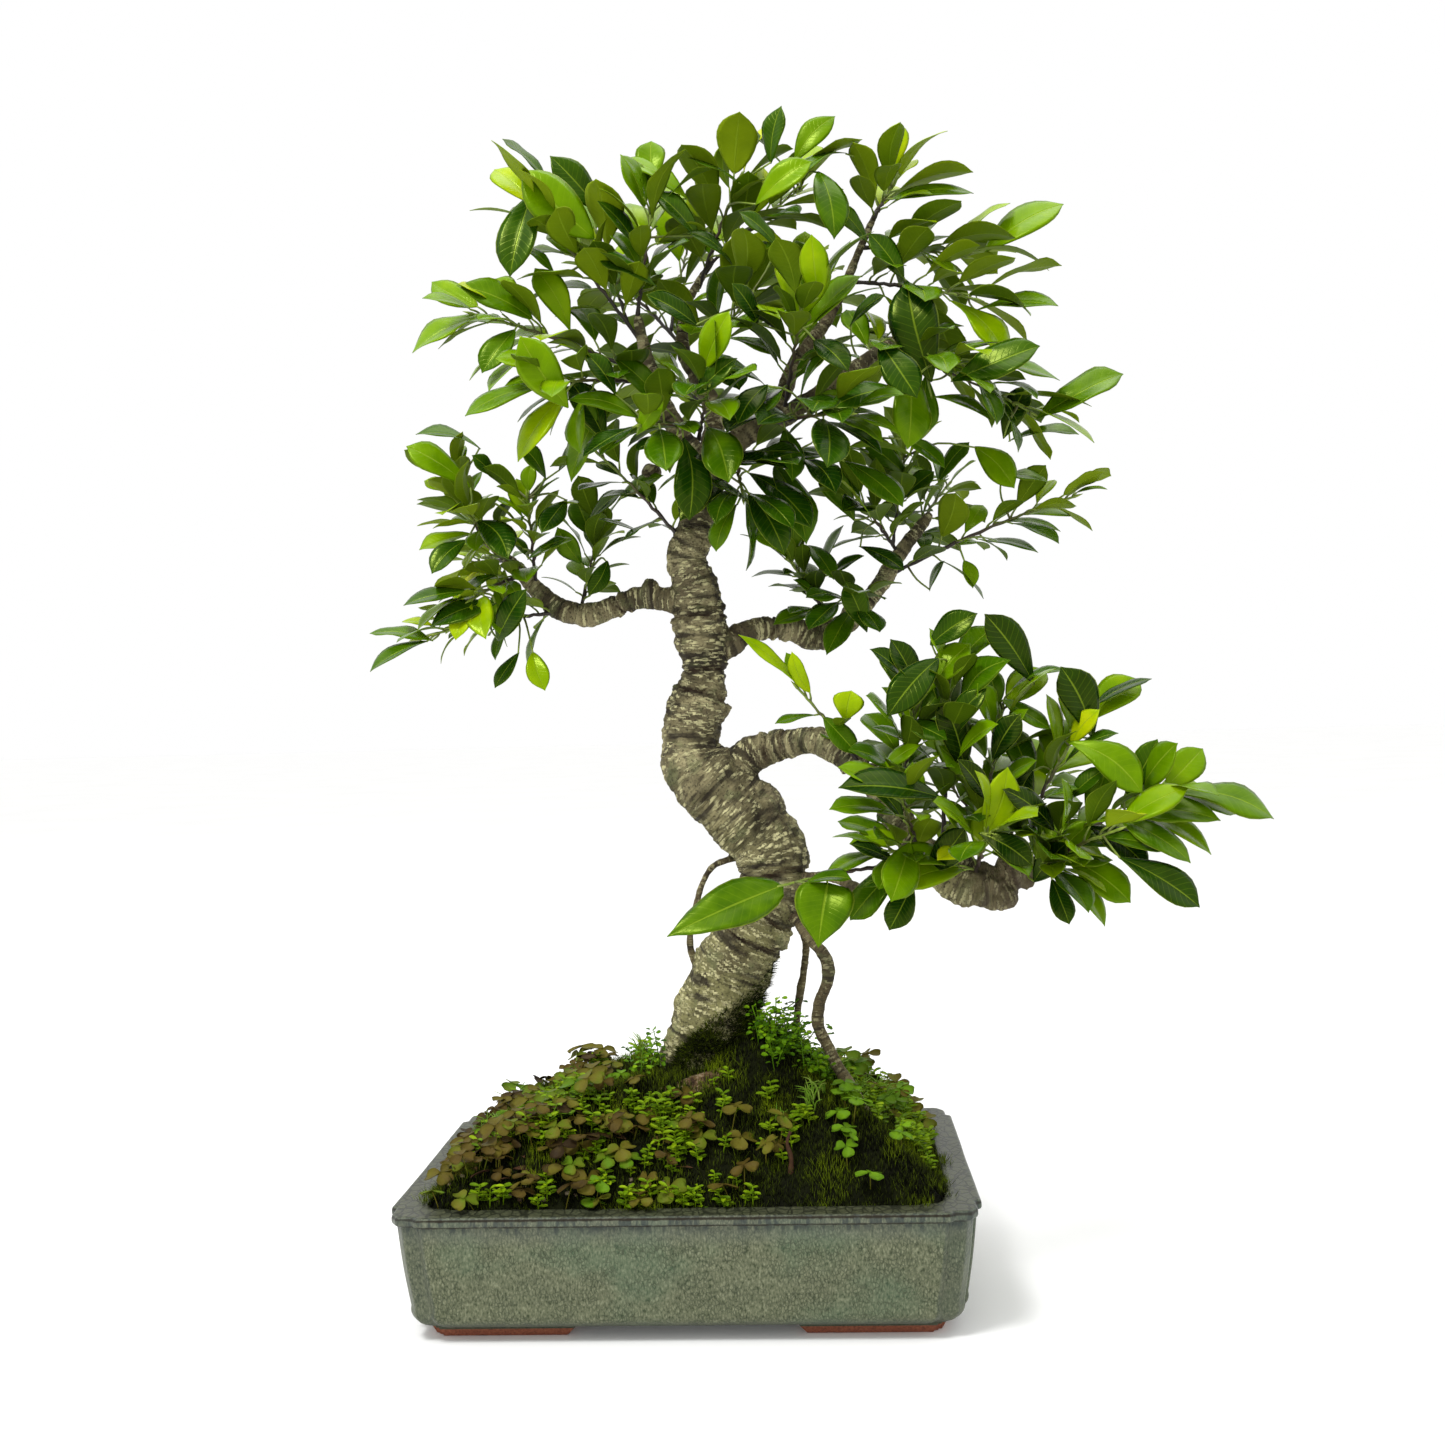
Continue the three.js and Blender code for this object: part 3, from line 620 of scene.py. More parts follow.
def smooth_curve(points: Sequence[Sequence[float]], steps: int) -> Row:
    """Runs a smooth curve through listed points.

    Args:
        points: The points, with any further values such as a radius.
        steps: Number of samples along the whole curve.

    Returns:
        One row per sample, with the same values as a point.
    """
    p = np.asarray(points, dtype=float)
    if len(p) == 2:
        return p[0] + (p[1] - p[0]) * np.linspace(0.0, 1.0, steps)[:, None]
    gaps = np.sqrt(np.maximum(np.linalg.norm(np.diff(p[:, :3], axis=0), axis=1), 1e-6))
    knots = np.concatenate([[0.0], np.cumsum(gaps)])
    slopes = np.empty_like(p)
    slopes[0] = (p[1] - p[0]) / gaps[0]
    slopes[-1] = (p[-1] - p[-2]) / gaps[-1]
    for k in range(1, len(p) - 1):
        before, after = (p[k] - p[k - 1]) / gaps[k - 1], (p[k + 1] - p[k]) / gaps[k]
        slopes[k] = (before * gaps[k] + after * gaps[k - 1]) / (gaps[k] + gaps[k - 1])
    where = np.linspace(0.0, knots[-1], steps)
    cell = np.clip(np.searchsorted(knots, where, side="right") - 1, 0, len(p) - 2)
    width = gaps[cell][:, None]
    t = ((where - knots[cell]) / gaps[cell])[:, None]
    return (
        (2 * t**3 - 3 * t**2 + 1) * p[cell]
        + (t**3 - 2 * t**2 + t) * width * slopes[cell]
        + (-2 * t**3 + 3 * t**2) * p[cell + 1]
        + (t**3 - t**2) * width * slopes[cell + 1]
    )


class MeshPile:
    """Points, faces and stored values that become one object."""

    def __init__(self) -> None:
        """Starts an empty pile."""
        self.points: list[Row] = []
        self.faces: list[Face] = []
        self.paint: list[int] = []
        self.marks: dict[str, list[Row]] = {}
        self.count = 0

    def add(self, points: Row, faces: Iterable[Face], paint: object = 0, **marks: object) -> None:
        """Adds a shape.

        Args:
            points: Its points, one per row, in millimetres.
            faces: Its faces, numbered from 0.
            paint: The material index, one for all faces or one per face.
            **marks: Values to store, one for all points or one per point.
        """
        listed = list(faces)
        self.points.append(points)
        self.faces.extend(tuple(index + self.count for index in face) for face in listed)
        self.paint.extend([paint] * len(listed) if isinstance(paint, int) else list(paint))
        for name, value in marks.items():
            row = np.broadcast_to(np.asarray(value, dtype=float), (len(points),))
            self.marks.setdefault(name, []).append(row)
        self.count += len(points)

    def tube(self, line: Row, radii: Row, sides: int, paint: int = 0, **marks: object) -> None:
        """Adds a closed tube around a line.

        Args:
            line: Centre points, one per row.
            radii: A radius for each centre point.
            sides: Points around the tube.
            paint: The material index.
            **marks: Values to store, one for all points, or one per point and two for the end points.
        """
        along = np.gradient(line, axis=0)
        along /= np.maximum(np.linalg.norm(along, axis=1, keepdims=True), 1e-9)
        side = unit(np.cross(along[0], (0.31, 0.87, 0.39)))
        rows = []
        turn = np.linspace(0.0, FULL_TURN, sides, endpoint=False)[:, None]
        for centre, direction, radius in zip(line, along, radii):
            side = unit(side - direction * float(side @ direction))
            other = np.cross(direction, side)
            rows.append(centre + radius * (np.cos(turn) * side + np.sin(turn) * other))
        faces = grid_faces(len(line), sides)
        first = len(line) * sides
        top = first - sides
        for k in range(sides):
            after = (k + 1) % sides
            faces += [(first, after, k), (first + 1, top + k, top + after)]
        self.add(np.concatenate([*rows, line[:1], line[-1:]]), faces, paint, **marks)

    def build(self, name: str, materials: Sequence[Material], placed: Callable[[Row], Row]) -> Piece:
        """Makes the object.

        Args:
            name: The object's name.
            materials: Its materials, in the order the paint numbers use.
            placed: Turns the points into places in the frame.

        Returns:
            The new object, linked to the scene.
        """
        mesh = bpy.data.meshes.new(name)
        mesh.from_pydata(placed(np.concatenate(self.points)).tolist(), [], self.faces)
        for material in materials:
            mesh.materials.append(material)
        mesh.polygons.foreach_set("material_index", self.paint)
        mesh.polygons.foreach_set("use_smooth", [True] * len(self.faces))
        for mark, rows in self.marks.items():
            store = mesh.attributes.new(mark, "FLOAT", "POINT")
            store.data.foreach_set("value", np.concatenate(rows))
        mesh.update()
        piece = bpy.data.objects.new(name, mesh)
        bpy.context.scene.collection.objects.link(piece)
        return piece


def settle(piece: Piece) -> Piece:
    """Bakes a piece's modifiers into its mesh.

    Args:
        piece: The object with modifiers.

    Returns:
        The same object with a plain mesh.
    """
    graph = bpy.context.evaluated_depsgraph_get()
    mesh = bpy.data.meshes.new_from_object(piece.evaluated_get(graph))
    piece.modifiers.clear()
    piece.data = mesh
    return piece


# ---- Where the plant stands -----------------------------------------------------------------


@dataclass(frozen=True)
class Anchor:
    """Turns listed places in millimetres into places in the frame."""

    pot_middle: Point
    pot_top: float
    collar_x: float = 8.0
    collar_rise: float = 72.0

    @classmethod
    def from_pot(cls, low: Sequence[float], high: Sequence[float]) -> "Anchor":
        """Finds the anchor from the lowest and highest corner of the pot's box, in metres."""
        middle = ((low[0] + high[0]) / 2, (low[1] + high[1]) / 2, low[2])
        return cls(pot_middle=middle, pot_top=high[2])

    def from_pot_middle(self, places: Row) -> Row:
        """Moves places listed from the middle of the pot's underside, in millimetres."""
        return np.asarray(places, dtype=float) * MM + np.array(self.pot_middle)

    def from_collar(self, places: Row) -> Row:
        """Moves places listed from the tree's collar, in millimetres."""
        x, y, _ = self.pot_middle
        collar = np.array([x + self.collar_x * MM, y, self.pot_top + self.collar_rise * MM])
        return np.asarray(places, dtype=float) * MM + collar


# ---- Pot ------------------------------------------------------------------------------------


@dataclass(frozen=True)
class GlazedPot:
    """A rectangular pot with indented corners, a double lip and four set-in feet."""

    length: float = 400.0
    depth: float = 300.0
    height: float = 88.0
    taper: float = 9.0
    wall: float = 11.0
    floor: float = 10.0
    rim_width: float = 21.0
    lip_height: float = 7.0
    lip_step: float = 2.0
    corner_length: float = 22.0
    corner_depth: float = 30.0
    corner_step: float = 4.0
    corner_round: float = 1.8
    corner_margin: float = 1.5
    bottom_round: float = 12.0
    belly: float = 0.54
    foot_height: float = 9.0
    foot_width: float = 24.0
    foot_set_in: float = 15.0
    foot_draft: float = 4.0
    foot_gap_front: float = 162.0
    foot_gap_side: float = 120.0
    foot_slant: float = 8.0
    foot_notch: float = 3.0
    foot_round: float = 1.1
    drain_radius: float = 14.0
    drain_spacing: float = 170.0
    spacing: float = 2.2

    def outline(self, inset: float) -> Row:
        """Draws the sharp plan with its four indented corners.

        Args:
            inset: How far the whole plan is moved inwards.

        Returns:
            One row of X and Y per point, anticlockwise.
        """
        a = self.length / 2 - inset
        b = self.depth / 2 - inset
        step = self.corner_step
        quarter = [
            (a, b - self.corner_depth),
            (a - step, b - self.corner_depth + step * 0.6),
            (a - step, b - self.corner_depth * 0.42),
            (a - self.corner_length * 0.42, b - step),
            (a - self.corner_length + step * 0.6, b - step),
            (a - self.corner_length, b),
        ]
        rows: list[tuple[float, float]] = []
        for sx, sy in ((1, 1), (-1, 1), (-1, -1), (1, -1)):
            points = [(sx * x, sy * y) for x, y in quarter]
            rows.extend(points if sx * sy > 0 else points[::-1])
        return np.array(rows)

    def plan(self, inset: float, softness: float = 1.0) -> Row:
        """Draws the closed plan with rounded corners and evenly spaced points.

        Args:
            inset: How far the plan is moved inwards.
            softness: Factor on the corners' rounding.

        Returns:
            One row of X and Y per point, the same number for every inset.
        """
        outline, nominal = self.outline(inset), self.outline(0.0)
        count = len(outline)
        corners = []
        for k, here in enumerate(outline):
            before, after = outline[k - 1], outline[(k + 1) % count]
            shorter = min(float(np.linalg.norm(before - here)), float(np.linalg.norm(after - here)))
            reach = min(self.corner_round * softness, 0.45 * shorter)
            corners.append(rounded(before, here, after, reach, 5))
        rows: list[Row] = []
        for k, corner in enumerate(corners):
            following = (k + 1) % count
            end, stop = corner[-1], corners[following][0]
            extra = max(int(np.linalg.norm(nominal[following] - nominal[k]) / self.spacing) - 1, 0)
            rows += corner
            rows += [end * (1 - t) + stop * t for t in np.linspace(0.0, 1.0, extra + 2)[1:-1]]
        return np.array(rows)

    def profile(self) -> list[tuple[float, float]]:
        """Lists inset and height down the outside, over the lip and down the inside.

        Returns:
            Pairs of inset and height, from the underside's edge to the inner floor.
        """
        bottom, top = self.foot_height, self.height
        lip = top - self.lip_height
        wall_low = bottom + self.bottom_round
        rows: list[tuple[float, float]] = []
        for angle in np.linspace(0.0, 1.0, 9) * math.pi / 2:
            inset = self.taper + self.bottom_round * (1 - math.sin(angle))
            rows.append((inset, bottom + self.bottom_round * (1 - math.cos(angle))))
        for t in np.linspace(0.0, 1.0, 26)[1:]:
            z = wall_low + (lip - 1.6 - wall_low) * t
            share = (z - bottom) / (top - bottom)
            rows.append((self.taper * (1 - share) + self.lip_step - self.belly * math.sin(math.pi * t), z))
        rows += [
            (self.lip_step + 1.1, lip - 0.9),
            (self.lip_step + 0.9, lip - 0.1),
            (1.1, lip + 0.5),
            (0.35, lip + 1.1),
            (0.0, lip + 2.2),
            (0.0, top - 2.6),
            (0.3, top - 1.3),
            (1.0, top - 0.4),
            (2.2, top),
        ]
        for t in np.linspace(0.0, 1.0, 7)[1:-1]:
            rows.append((2.2 + (self.rim_width - 3.4) * t, top - 0.35 * math.sin(math.pi * t)))
        inner = self.wall + self.taper
        rows += [
            (self.rim_width - 1.2, top - 0.1),
            (self.rim_width - 0.3, top - 0.8),
            (self.rim_width, top - 2.0),
            (self.rim_width, top - 9.0),
            (self.rim_width - 1.5, top - 11.0),
            (self.wall + 2.0, top - 16.0),
            (self.wall + 3.0, top - 30.0),
            (inner, bottom + self.floor + 6.0),
            (inner + 4.0, bottom + self.floor),
        ]
        return rows

    def shell(self) -> MeshPile:
        """Builds the bowl of the pot, very slightly uneven.

        Returns:
            The bowl as a closed shape.
        """
        rings: list[Row] = []
        marks: dict[str, list[Row]] = {"rim_face": [], "outer_skin": [], "rib": []}
        top = self.height
        for inset, z in self.profile():
            ring = self.plan(inset, 1.0 + 0.5 * inset / self.rim_width)
            every = np.ones(len(ring))
            is_outer = inset < self.rim_width * 0.55
            wave = np.array([noise.noise(Vector((x * 0.012, y * 0.012, z * 0.02))) for x, y in ring])
            fine = np.array([noise.noise(Vector((x * 0.09, y * 0.09, z * 0.05 + 7.0))) for x, y in ring])
            push = 1.0 + (0.35 * wave + 0.10 * fine) / 200.0 if is_outer else every
            lift = 0.0
            if z > top - 1.0:
                lift = 0.25 * wave
            elif is_outer and z > self.foot_height + 20:
                lift = 0.22 * wave
            rings.append(np.column_stack([ring * push[:, None], np.minimum(z * every + lift, top)]))
            marks["rim_face"].append(every * (z > top - 0.9 and inset > 1.4))
            marks["outer_skin"].append(every * is_outer)
            corner_x = self.length / 2 - inset - self.corner_length - self.corner_margin
            corner_y = self.depth / 2 - inset - self.corner_depth - self.corner_margin
            in_corner = (np.abs(ring[:, 0]) > corner_x) & (np.abs(ring[:, 1]) > corner_y)
            marks["rib"].append(np.where(in_corner & is_outer, 0.5, 0.0))
        pile = MeshPile()
        faces = capped_faces(len(rings), len(rings[0]))
        pile.add(np.concatenate(rings), faces, **{name: np.concatenate(rows) for name, rows in marks.items()})
        return pile

    def feet(self) -> MeshPile:
        """Builds the four feet, glazed on their sides and bare underneath.

        Returns:
            The feet as closed shapes.
        """
        pile = MeshPile()
        outer_x = self.length / 2 - self.taper - self.foot_set_in
        outer_y = self.depth / 2 - self.taper - self.foot_set_in
        width, notch = self.foot_width, self.foot_notch
        glazed, bare = 0, 1
        bare_steps = [(0.0, 1.0), (0.0, 0.35), (0.35, 0.0), (2.0, 0.0), (4.2, 0.0)]
        steps = bare_steps + [(5.4, 0.0), (8.0, 0.0), (self.foot_height + 3.0, 0.0)]
        for sx, sy in ((-1, -1), (-1, 1), (1, -1), (1, 1)):
            rows: list[tuple[float, float, float]] = []
            for z, tuck in steps:
                rise = z / self.foot_height
                out = (1 - rise) * self.foot_draft + tuck
                ax, ay = outer_x - out, outer_y - out
                bx = self.foot_gap_front / 2 - rise * self.foot_slant + tuck
                by = self.foot_gap_side / 2 - rise * self.foot_slant + tuck
                plan = [
                    (bx, ay), (ax - 2 * notch, ay), (ax - 2 * notch, ay - notch), (ax - notch, ay - notch),
                    (ax - notch, ay - 2 * notch), (ax, ay - 2 * notch), (ax, by), (ax - width, by),
                    (ax - width, ay - width), (bx, ay - width),
                ]
                ring = [(sx * x, sy * y, z) for x, y in self.softened(plan)]
                rows += ring if sx * sy < 0 else ring[::-1]
            around = len(rows) // len(steps)
            sides = [bare] * around * len(bare_steps) + [glazed] * around * (len(steps) - len(bare_steps) - 1)
            faces = capped_faces(len(steps), around)
            pile.add(np.array(rows), faces, sides + [bare, glazed], rim_face=0.0, outer_skin=0.0, rib=0.0)
        return pile

    def softened(self, plan: list[tuple[float, float]]) -> list[Row]:
        """Rounds the corners of a foot's plan, with three points for each.

        Args:
            plan: The sharp corners.

        Returns:
            The rounded plan.
        """
        sharp = np.array(plan)
        rows: list[Row] = []
        for k, here in enumerate(sharp):
            rows += rounded(sharp[k - 1], here, sharp[(k + 1) % len(sharp)], self.foot_round, 3)
        return rows

    def build(self, anchor: Anchor, glaze: Material, clay: Material) -> Piece:
        """Makes the whole pot.

        Args:
            anchor: Where the plant stands.
            glaze: The glaze material.
            clay: The bare clay material.

        Returns:
            The pot, with its drain holes cut through.
        """
        cutters = MeshPile()
        widths = np.array([0.8, 0.0, 0.0, 0.4]) + self.drain_radius
        for x in (-self.drain_spacing / 2, self.drain_spacing / 2):
            line = np.array([[x, 0.0, z] for z in (0.0, 10.0, 20.0, 26.0)])
            cutters.tube(line, widths, 48, 1, rim_face=0.0, outer_skin=0.0, rib=0.0)
        piles = {"pot_body": self.shell(), "pot_feet": self.feet(), "drain_cutters": cutters}
        pot, feet, holes = (
            pile.build(name, [glaze, clay], anchor.from_pot_middle) for name, pile in piles.items()
        )
        for tool, operation in ((feet, "UNION"), (holes, "DIFFERENCE")):
            change = pot.modifiers.new(operation.lower(), "BOOLEAN")
            change.operation = operation
            change.object = tool
            change.solver = "EXACT"
            settle(pot)
            bpy.data.objects.remove(tool)
        return pot


# ---- Where the wood runs --------------------------------------------------------------------


@dataclass(frozen=True)
class Limb:
    """One length of wood: points as X, Y, Z and radius, in millimetres from the collar."""

    name: str
    points: tuple[tuple[float, float, float, float], ...]
    rings: tuple[float, ...] = ()


LIMBS: tuple[Limb, ...] = (
    Limb(
        "trunk",
        (
            (-6, 5, -58, 40), (-3, 5, -25, 36), (1, 5, -4, 33), (7, 3, 26, 31), (17, 0, 54, 29),
            (30, -2, 80, 27), (44, -5, 105, 25.5), (56, -5, 128, 24.5), (54, -3, 154, 27),
            (38, 0, 178, 28.5), (18, 0, 200, 28.5), (0, 2, 221, 26), (-3, 4, 242, 21.5), (1, 5, 264, 21),
            (7, 5, 286, 16), (7, 5, 305, 18), (5, 3, 329, 20), (4, 2, 350, 17), (-3, 2, 373, 15.5),
            (4, 0, 395, 13.5), (7, 0, 417, 11.5), (7, 0, 436, 9.5),
        ),
        rings=(0.3, 0.335, 0.365, 0.395, 0.69, 0.72, 0.8,),
    ),
    Limb(
        "lower_right_limb",
        (
            (22, 0, 203, 15), (41, -5, 226, 14), (66, -15, 234, 10.5), (88, -25, 237, 9.7),
            (106, -32, 228, 9.7), (122, -38, 215, 9.7), (138, -44, 193, 10.5), (154, -50, 167, 11.2),
            (172, -55, 148, 13.5), (193, -58, 135, 16), (215, -58, 133, 15), (231, -58, 140, 9),
        ),
        rings=(0.18, 0.22, 0.45,),
    ),
    Limb(
        "left_limb",
        (
            (2, 3, 342, 10.5), (-22, 6, 345, 9), (-41, 10, 346, 8.2), (-60, 14, 340, 8.2),
            (-80, 18, 335, 9), (-101, 20, 340, 8.2), (-119, 20, 356, 6.7), (-138, 20, 377, 4.5),
            (-160, 18, 396, 3),
        ),
        rings=(0.3,),
    ),
    Limb(
        "right_limb",
        (
            (8, 5, 307, 12), (25, 8, 309, 10.5), (40, 14, 319, 9), (58, 20, 321, 8.2), (77, 26, 319, 9),
            (94, 30, 314, 10.5), (111, 34, 322, 9), (127, 38, 336, 7.5), (144, 42, 356, 6.7),
            (157, 44, 376, 6), (182, 46, 407, 3.7),
        ),
        rings=(0.25, 0.28,),
    ),
    Limb(
        "crown_left_leader",
        (
            (6, -2, 417, 7.5), (8, -8, 442, 9.7), (-4, -15, 463, 8.2), (-18, -22, 489, 6.7),
            (-26, -28, 516, 5.2), (-32, -34, 548, 3.7),
        ),
    ),
    Limb(
        "crown_mid_leader",
        (
            (8, 4, 423, 6.7), (18, 12, 463, 8.2), (20, 18, 486, 7.5), (5, 26, 515, 6), (-4, 32, 538, 5.2),
            (1, 38, 573, 3.7), (21, 42, 607, 2.6),
        ),
    ),
    Limb(
        "crown_right_branch",
        (
            (10, -2, 417, 6.7), (24, -6, 444, 9), (44, -10, 463, 8.2), (72, -12, 475, 7.5),
            (102, -14, 493, 6), (129, -14, 511, 5.2), (175, -12, 540, 3),
        ),
    ),
    Limb(
        "crown_rear_branch",
        (
            (57, -4, 472, 6), (71, 10, 494, 6), (83, 22, 524, 5.2), (103, 30, 549, 4.5),
            (120, 34, 580, 3.7), (133, 36, 609, 3), (148, 36, 640, 2.2),
        ),
    ),
    Limb(
        "aerial_root_left",
        (
            (38, 6, 152, 2.8), (12, 2, 145, 2.6), (3, 0, 133, 2.6), (-5, 0, 106, 2.6), (-8, 0, 88, 2.6),
            (-5, 2, 72, 2.6), (1, 4, 58, 2.6),
        ),
    ),
    Limb(
        "aerial_root_front",
        (
            (48, -8, 116, 4.5), (71, -20, 107, 4.5), (80, -26, 94, 4.5), (92, -29, 80, 4.5),
            (94, -30, 64, 4.5), (87, -30, 46, 4.5), (86, -30, 29, 4.5), (93, -32, 14, 4.5),
            (101, -36, -2, 4.5), (112, -40, -20, 4.5), (120, -42, -38, 3.7), (120, -42, -82, 3.7),
        ),
    ),
    Limb(
        "aerial_root_back",
        (
            (52, 4, 114, 4), (70, 12, 104, 3.4), (78, 14, 84, 3), (76, 14, 62, 3), (72, 14, 42, 3),
            (69, 14, 18, 3), (65, 14, -12, 3), (64, 14, -30, 2.6), (64, 14, -82, 2.6),
        ),
    ),
    Limb(
        "aerial_root_burl",
        (
            (56, -6, 138, 4.5), (82, -20, 137, 3.7), (95, -26, 138, 3.7), (106, -32, 135, 4.2),
            (117, -38, 128, 5.2), (124, -42, 123, 3.7),
        ),
    ),
)


# ---- Ground: soil, moss and weeds -----------------------------------------------------------


BLADE_FACES = ((0, 1, 3), (1, 2, 3), (2, 0, 3), (0, 2, 1))


@dataclass(frozen=True)
class Patch:
    """An ellipse on the moss, in millimetres from the pot's middle, and what grows in it."""

    x: float
    y: float
    half_x: float
    half_y: float
    count: int
    tone: float = 0.0


@dataclass(frozen=True)
class Mound:
    """The shape of the ground over the pot's plan, in millimetres from the pot's middle."""

    height: float = 72.0
    edge_drop: float = 3.0
    middle_x: float = 28.0
    middle_y: float = 0.0
    shoulder_x: float = 54.0
    shoulder_y: float = -8.0
    shoulder_height: float = 30.0
    shoulder_radius: float = 36.0
    rim_inset: float = 21.4

    def top(self, x: float, y: float, share: float, pot_height: float) -> float:
        """Gives the height of the ground above the pot's underside.

        Args:
            x: Place along the pot.
            y: Place across the pot.
            share: 0 at the mound's middle and 1 at the rim.
            pot_height: Height of the pot's rim.

        Returns:
            The height.
        """
        rise = (self.height + self.edge_drop) * max(1 - share**2, 0.0) ** 0.9
        dx = (x - self.shoulder_x) / self.shoulder_radius
        dy = (y - self.shoulder_y) / self.shoulder_radius
        shoulder = self.shoulder_height * math.exp(-dx * dx - dy * dy)
        lumps = 2.2 * math.sin(x / 17 + 1) * math.cos(y / 13) * (1 - share**6)
        return pot_height - self.edge_drop + rise + shoulder + lumps


@dataclass
class MossCushion:
    """Moss over the mound: a lumpy sheet with short blades standing in it."""

    pot: GlazedPot
    mound: Mound
    rings: int = 84
    lumps: tuple[tuple[float, float, Point], ...] = (
        (3.0, 0.045, (0, 0, 0)), (2.8, 0.10, (5, 3, 1)), (1.5, 0.22, (2, 8, 4)),
    )
    sink: float = 0.6
    skirt: float = 7.0
    blades: int = 26000
    blade_length: float = 6.4
    blade_width: float = 0.8
    climbing: int = 9000
    climb_height: float = 74.0
    climb_right: float = 2.3
    climb_left: float = 1.2
    seed: int = 11

    def height_at(self, x: float, y: float, share: float) -> float:
        """Gives the height of the lumpy moss above the pot's underside.

        Args:
            x: Place along the pot.
            y: Place across the pot.
            share: 0 at the mound's middle and 1 at the rim.

        Returns:
            The height.
        """
        where = Vector((x, y, 0.0))
        rise = sum(size * noise.noise(where * scale + Vector(shift)) for size, scale, shift in self.lumps)
        return self.mound.top(x, y, share, self.pot.height) + rise * (1 - share**8) - self.sink

    def reach(self, over: float) -> tuple[float, float]:
        """Gives half the length and depth of the ground inside the rim, or that much over it."""
        inset = self.mound.rim_inset - over
        return (self.pot.length / 2 - inset, self.pot.depth / 2 - inset)

    def ground(self, x: float, y: float) -> Row:
        """Finds the moss surface at one place from the pot's middle.

        Args:
            x: Place along the pot.
            y: Place across the pot.

        Returns:
            The point on the moss.
        """
        dx, dy = x - self.mound.middle_x, y - self.mound.middle_y
        half_x, half_y = self.reach(0.0)
        reach_x = (half_x - self.mound.middle_x * math.copysign(1.0, dx)) if dx else half_x
        share = min(max(abs(dx) / reach_x, abs(dy) / half_y), 1.0)
        return np.array([x, y, self.height_at(x, y, share)])

    def sheet(self) -> MeshPile:
        """Builds the closed moss sheet.

        Returns:
            The sheet.
        """
        edge = self.pot.plan(self.mound.rim_inset, 1.5)
        middle = np.array([self.mound.middle_x, self.mound.middle_y])
        low = self.pot.height - self.mound.edge_drop - self.skirt
        rows = [np.column_stack([edge, np.full(len(edge), low)])]
        for share in np.linspace(1.0, 0.0, self.rings + 1)[:-1]:
            ring = middle + (edge - middle) * share
            rows.append(np.column_stack([ring, [self.height_at(x, y, share) for x, y in ring]]))
        around = len(edge)
        *faces, _ = capped_faces(len(rows), around)
        start = (len(rows) - 1) * around
        faces += [(start + k, start + (k + 1) % around, start + around) for k in range(around)]
        pile = MeshPile()
        peak = np.array([[*middle, self.height_at(*middle, 0.0)]])
        # The sheet is kept dark (tone 0.12): painted shade down in the gaps between the blades.
        pile.add(np.concatenate([*rows, peak]), faces, 0, tone=0.12)
        return pile

    def fits(self, x: float, y: float, over: float) -> bool:
        """Tells whether a place is on the mound.

        Args:
            x: Place along the pot.
            y: Place across the pot.
            over: How far it may lie over the rim.

        Returns:
            True on the mound.
        """
        half_x, half_y = self.reach(over)
        a, b = half_x - abs(x), half_y - abs(y)
        return a > 0 and b > 0 and a + b > self.pot.corner_length

    def scatter(self, rng: Random, patch: Patch) -> Iterable[Point]:
        """Picks places in a patch.

        Args:
            rng: The random source.
            patch: The patch.

        Yields:
            X, Y and a share from 0 to 1.
        """
        half_x, half_y = self.reach(3.0)
        for _ in range(patch.count):
            angle, reach = rng.uniform(0, FULL_TURN), math.sqrt(rng.uniform(0, 1))
            x = patch.x + patch.half_x * reach * math.cos(angle)
            y = patch.y + patch.half_y * reach * math.sin(angle)
            x, y = float(np.clip(x, -half_x, half_x)), float(np.clip(y, -half_y, half_y))
            yield (x, y, float(rng.uniform()))

    def tufts(self, side: int, rng: Random) -> MeshPile:
        """Stands pointed blades on one half of the moss.

        Args:
            side: -1 for the left half, 1 for the right half.
            rng: The random source.

        Returns:
            The blades.
        """
        half_x, half_y = self.pot.length / 2, self.pot.depth / 2
        pile = MeshPile()
        while pile.count < self.blades * 4:
            x = side * rng.uniform(0, half_x)
            y = rng.uniform(-half_y, half_y)
            patch = noise.noise(Vector((x * 0.035, y * 0.035, 3.0)))
            patch += 0.6 * noise.noise(Vector((x * 0.12, y * 0.12, 9.0)))
            if not self.fits(x, y, 2.5 + 6.0 * patch):
                continue
            foot = self.ground(x, y)
            length = self.blade_length * rng.uniform(0.5, 1.4) * (1.0 + 0.55 * patch)
            heading = rng.uniform(0, FULL_TURN)
            lean = abs(rng.normal(0.0, 0.45))
            away = np.array([math.cos(heading), math.sin(heading), 0.0])
            across = np.array([-away[1], away[0], 0.0]) * self.blade_width / 2
            tip = foot + away * lean * length + np.array([0, 0, length * 0.9])
            low = foot - np.array([0, 0, 1.2])
            tone = float(np.clip(0.40 + 0.5 * patch + rng.normal(0, 0.17), 0.05, 0.95))
            corners = np.array([low - across, low + across, low - away * self.blade_width * 0.8, tip])
            # Feet are darkened to a quarter of the tone: painted shade down among the blades.
            pile.add(corners, BLADE_FACES, tone=[tone * 0.25] * 3 + [min(tone + 0.22, 1.0)])
        return pile

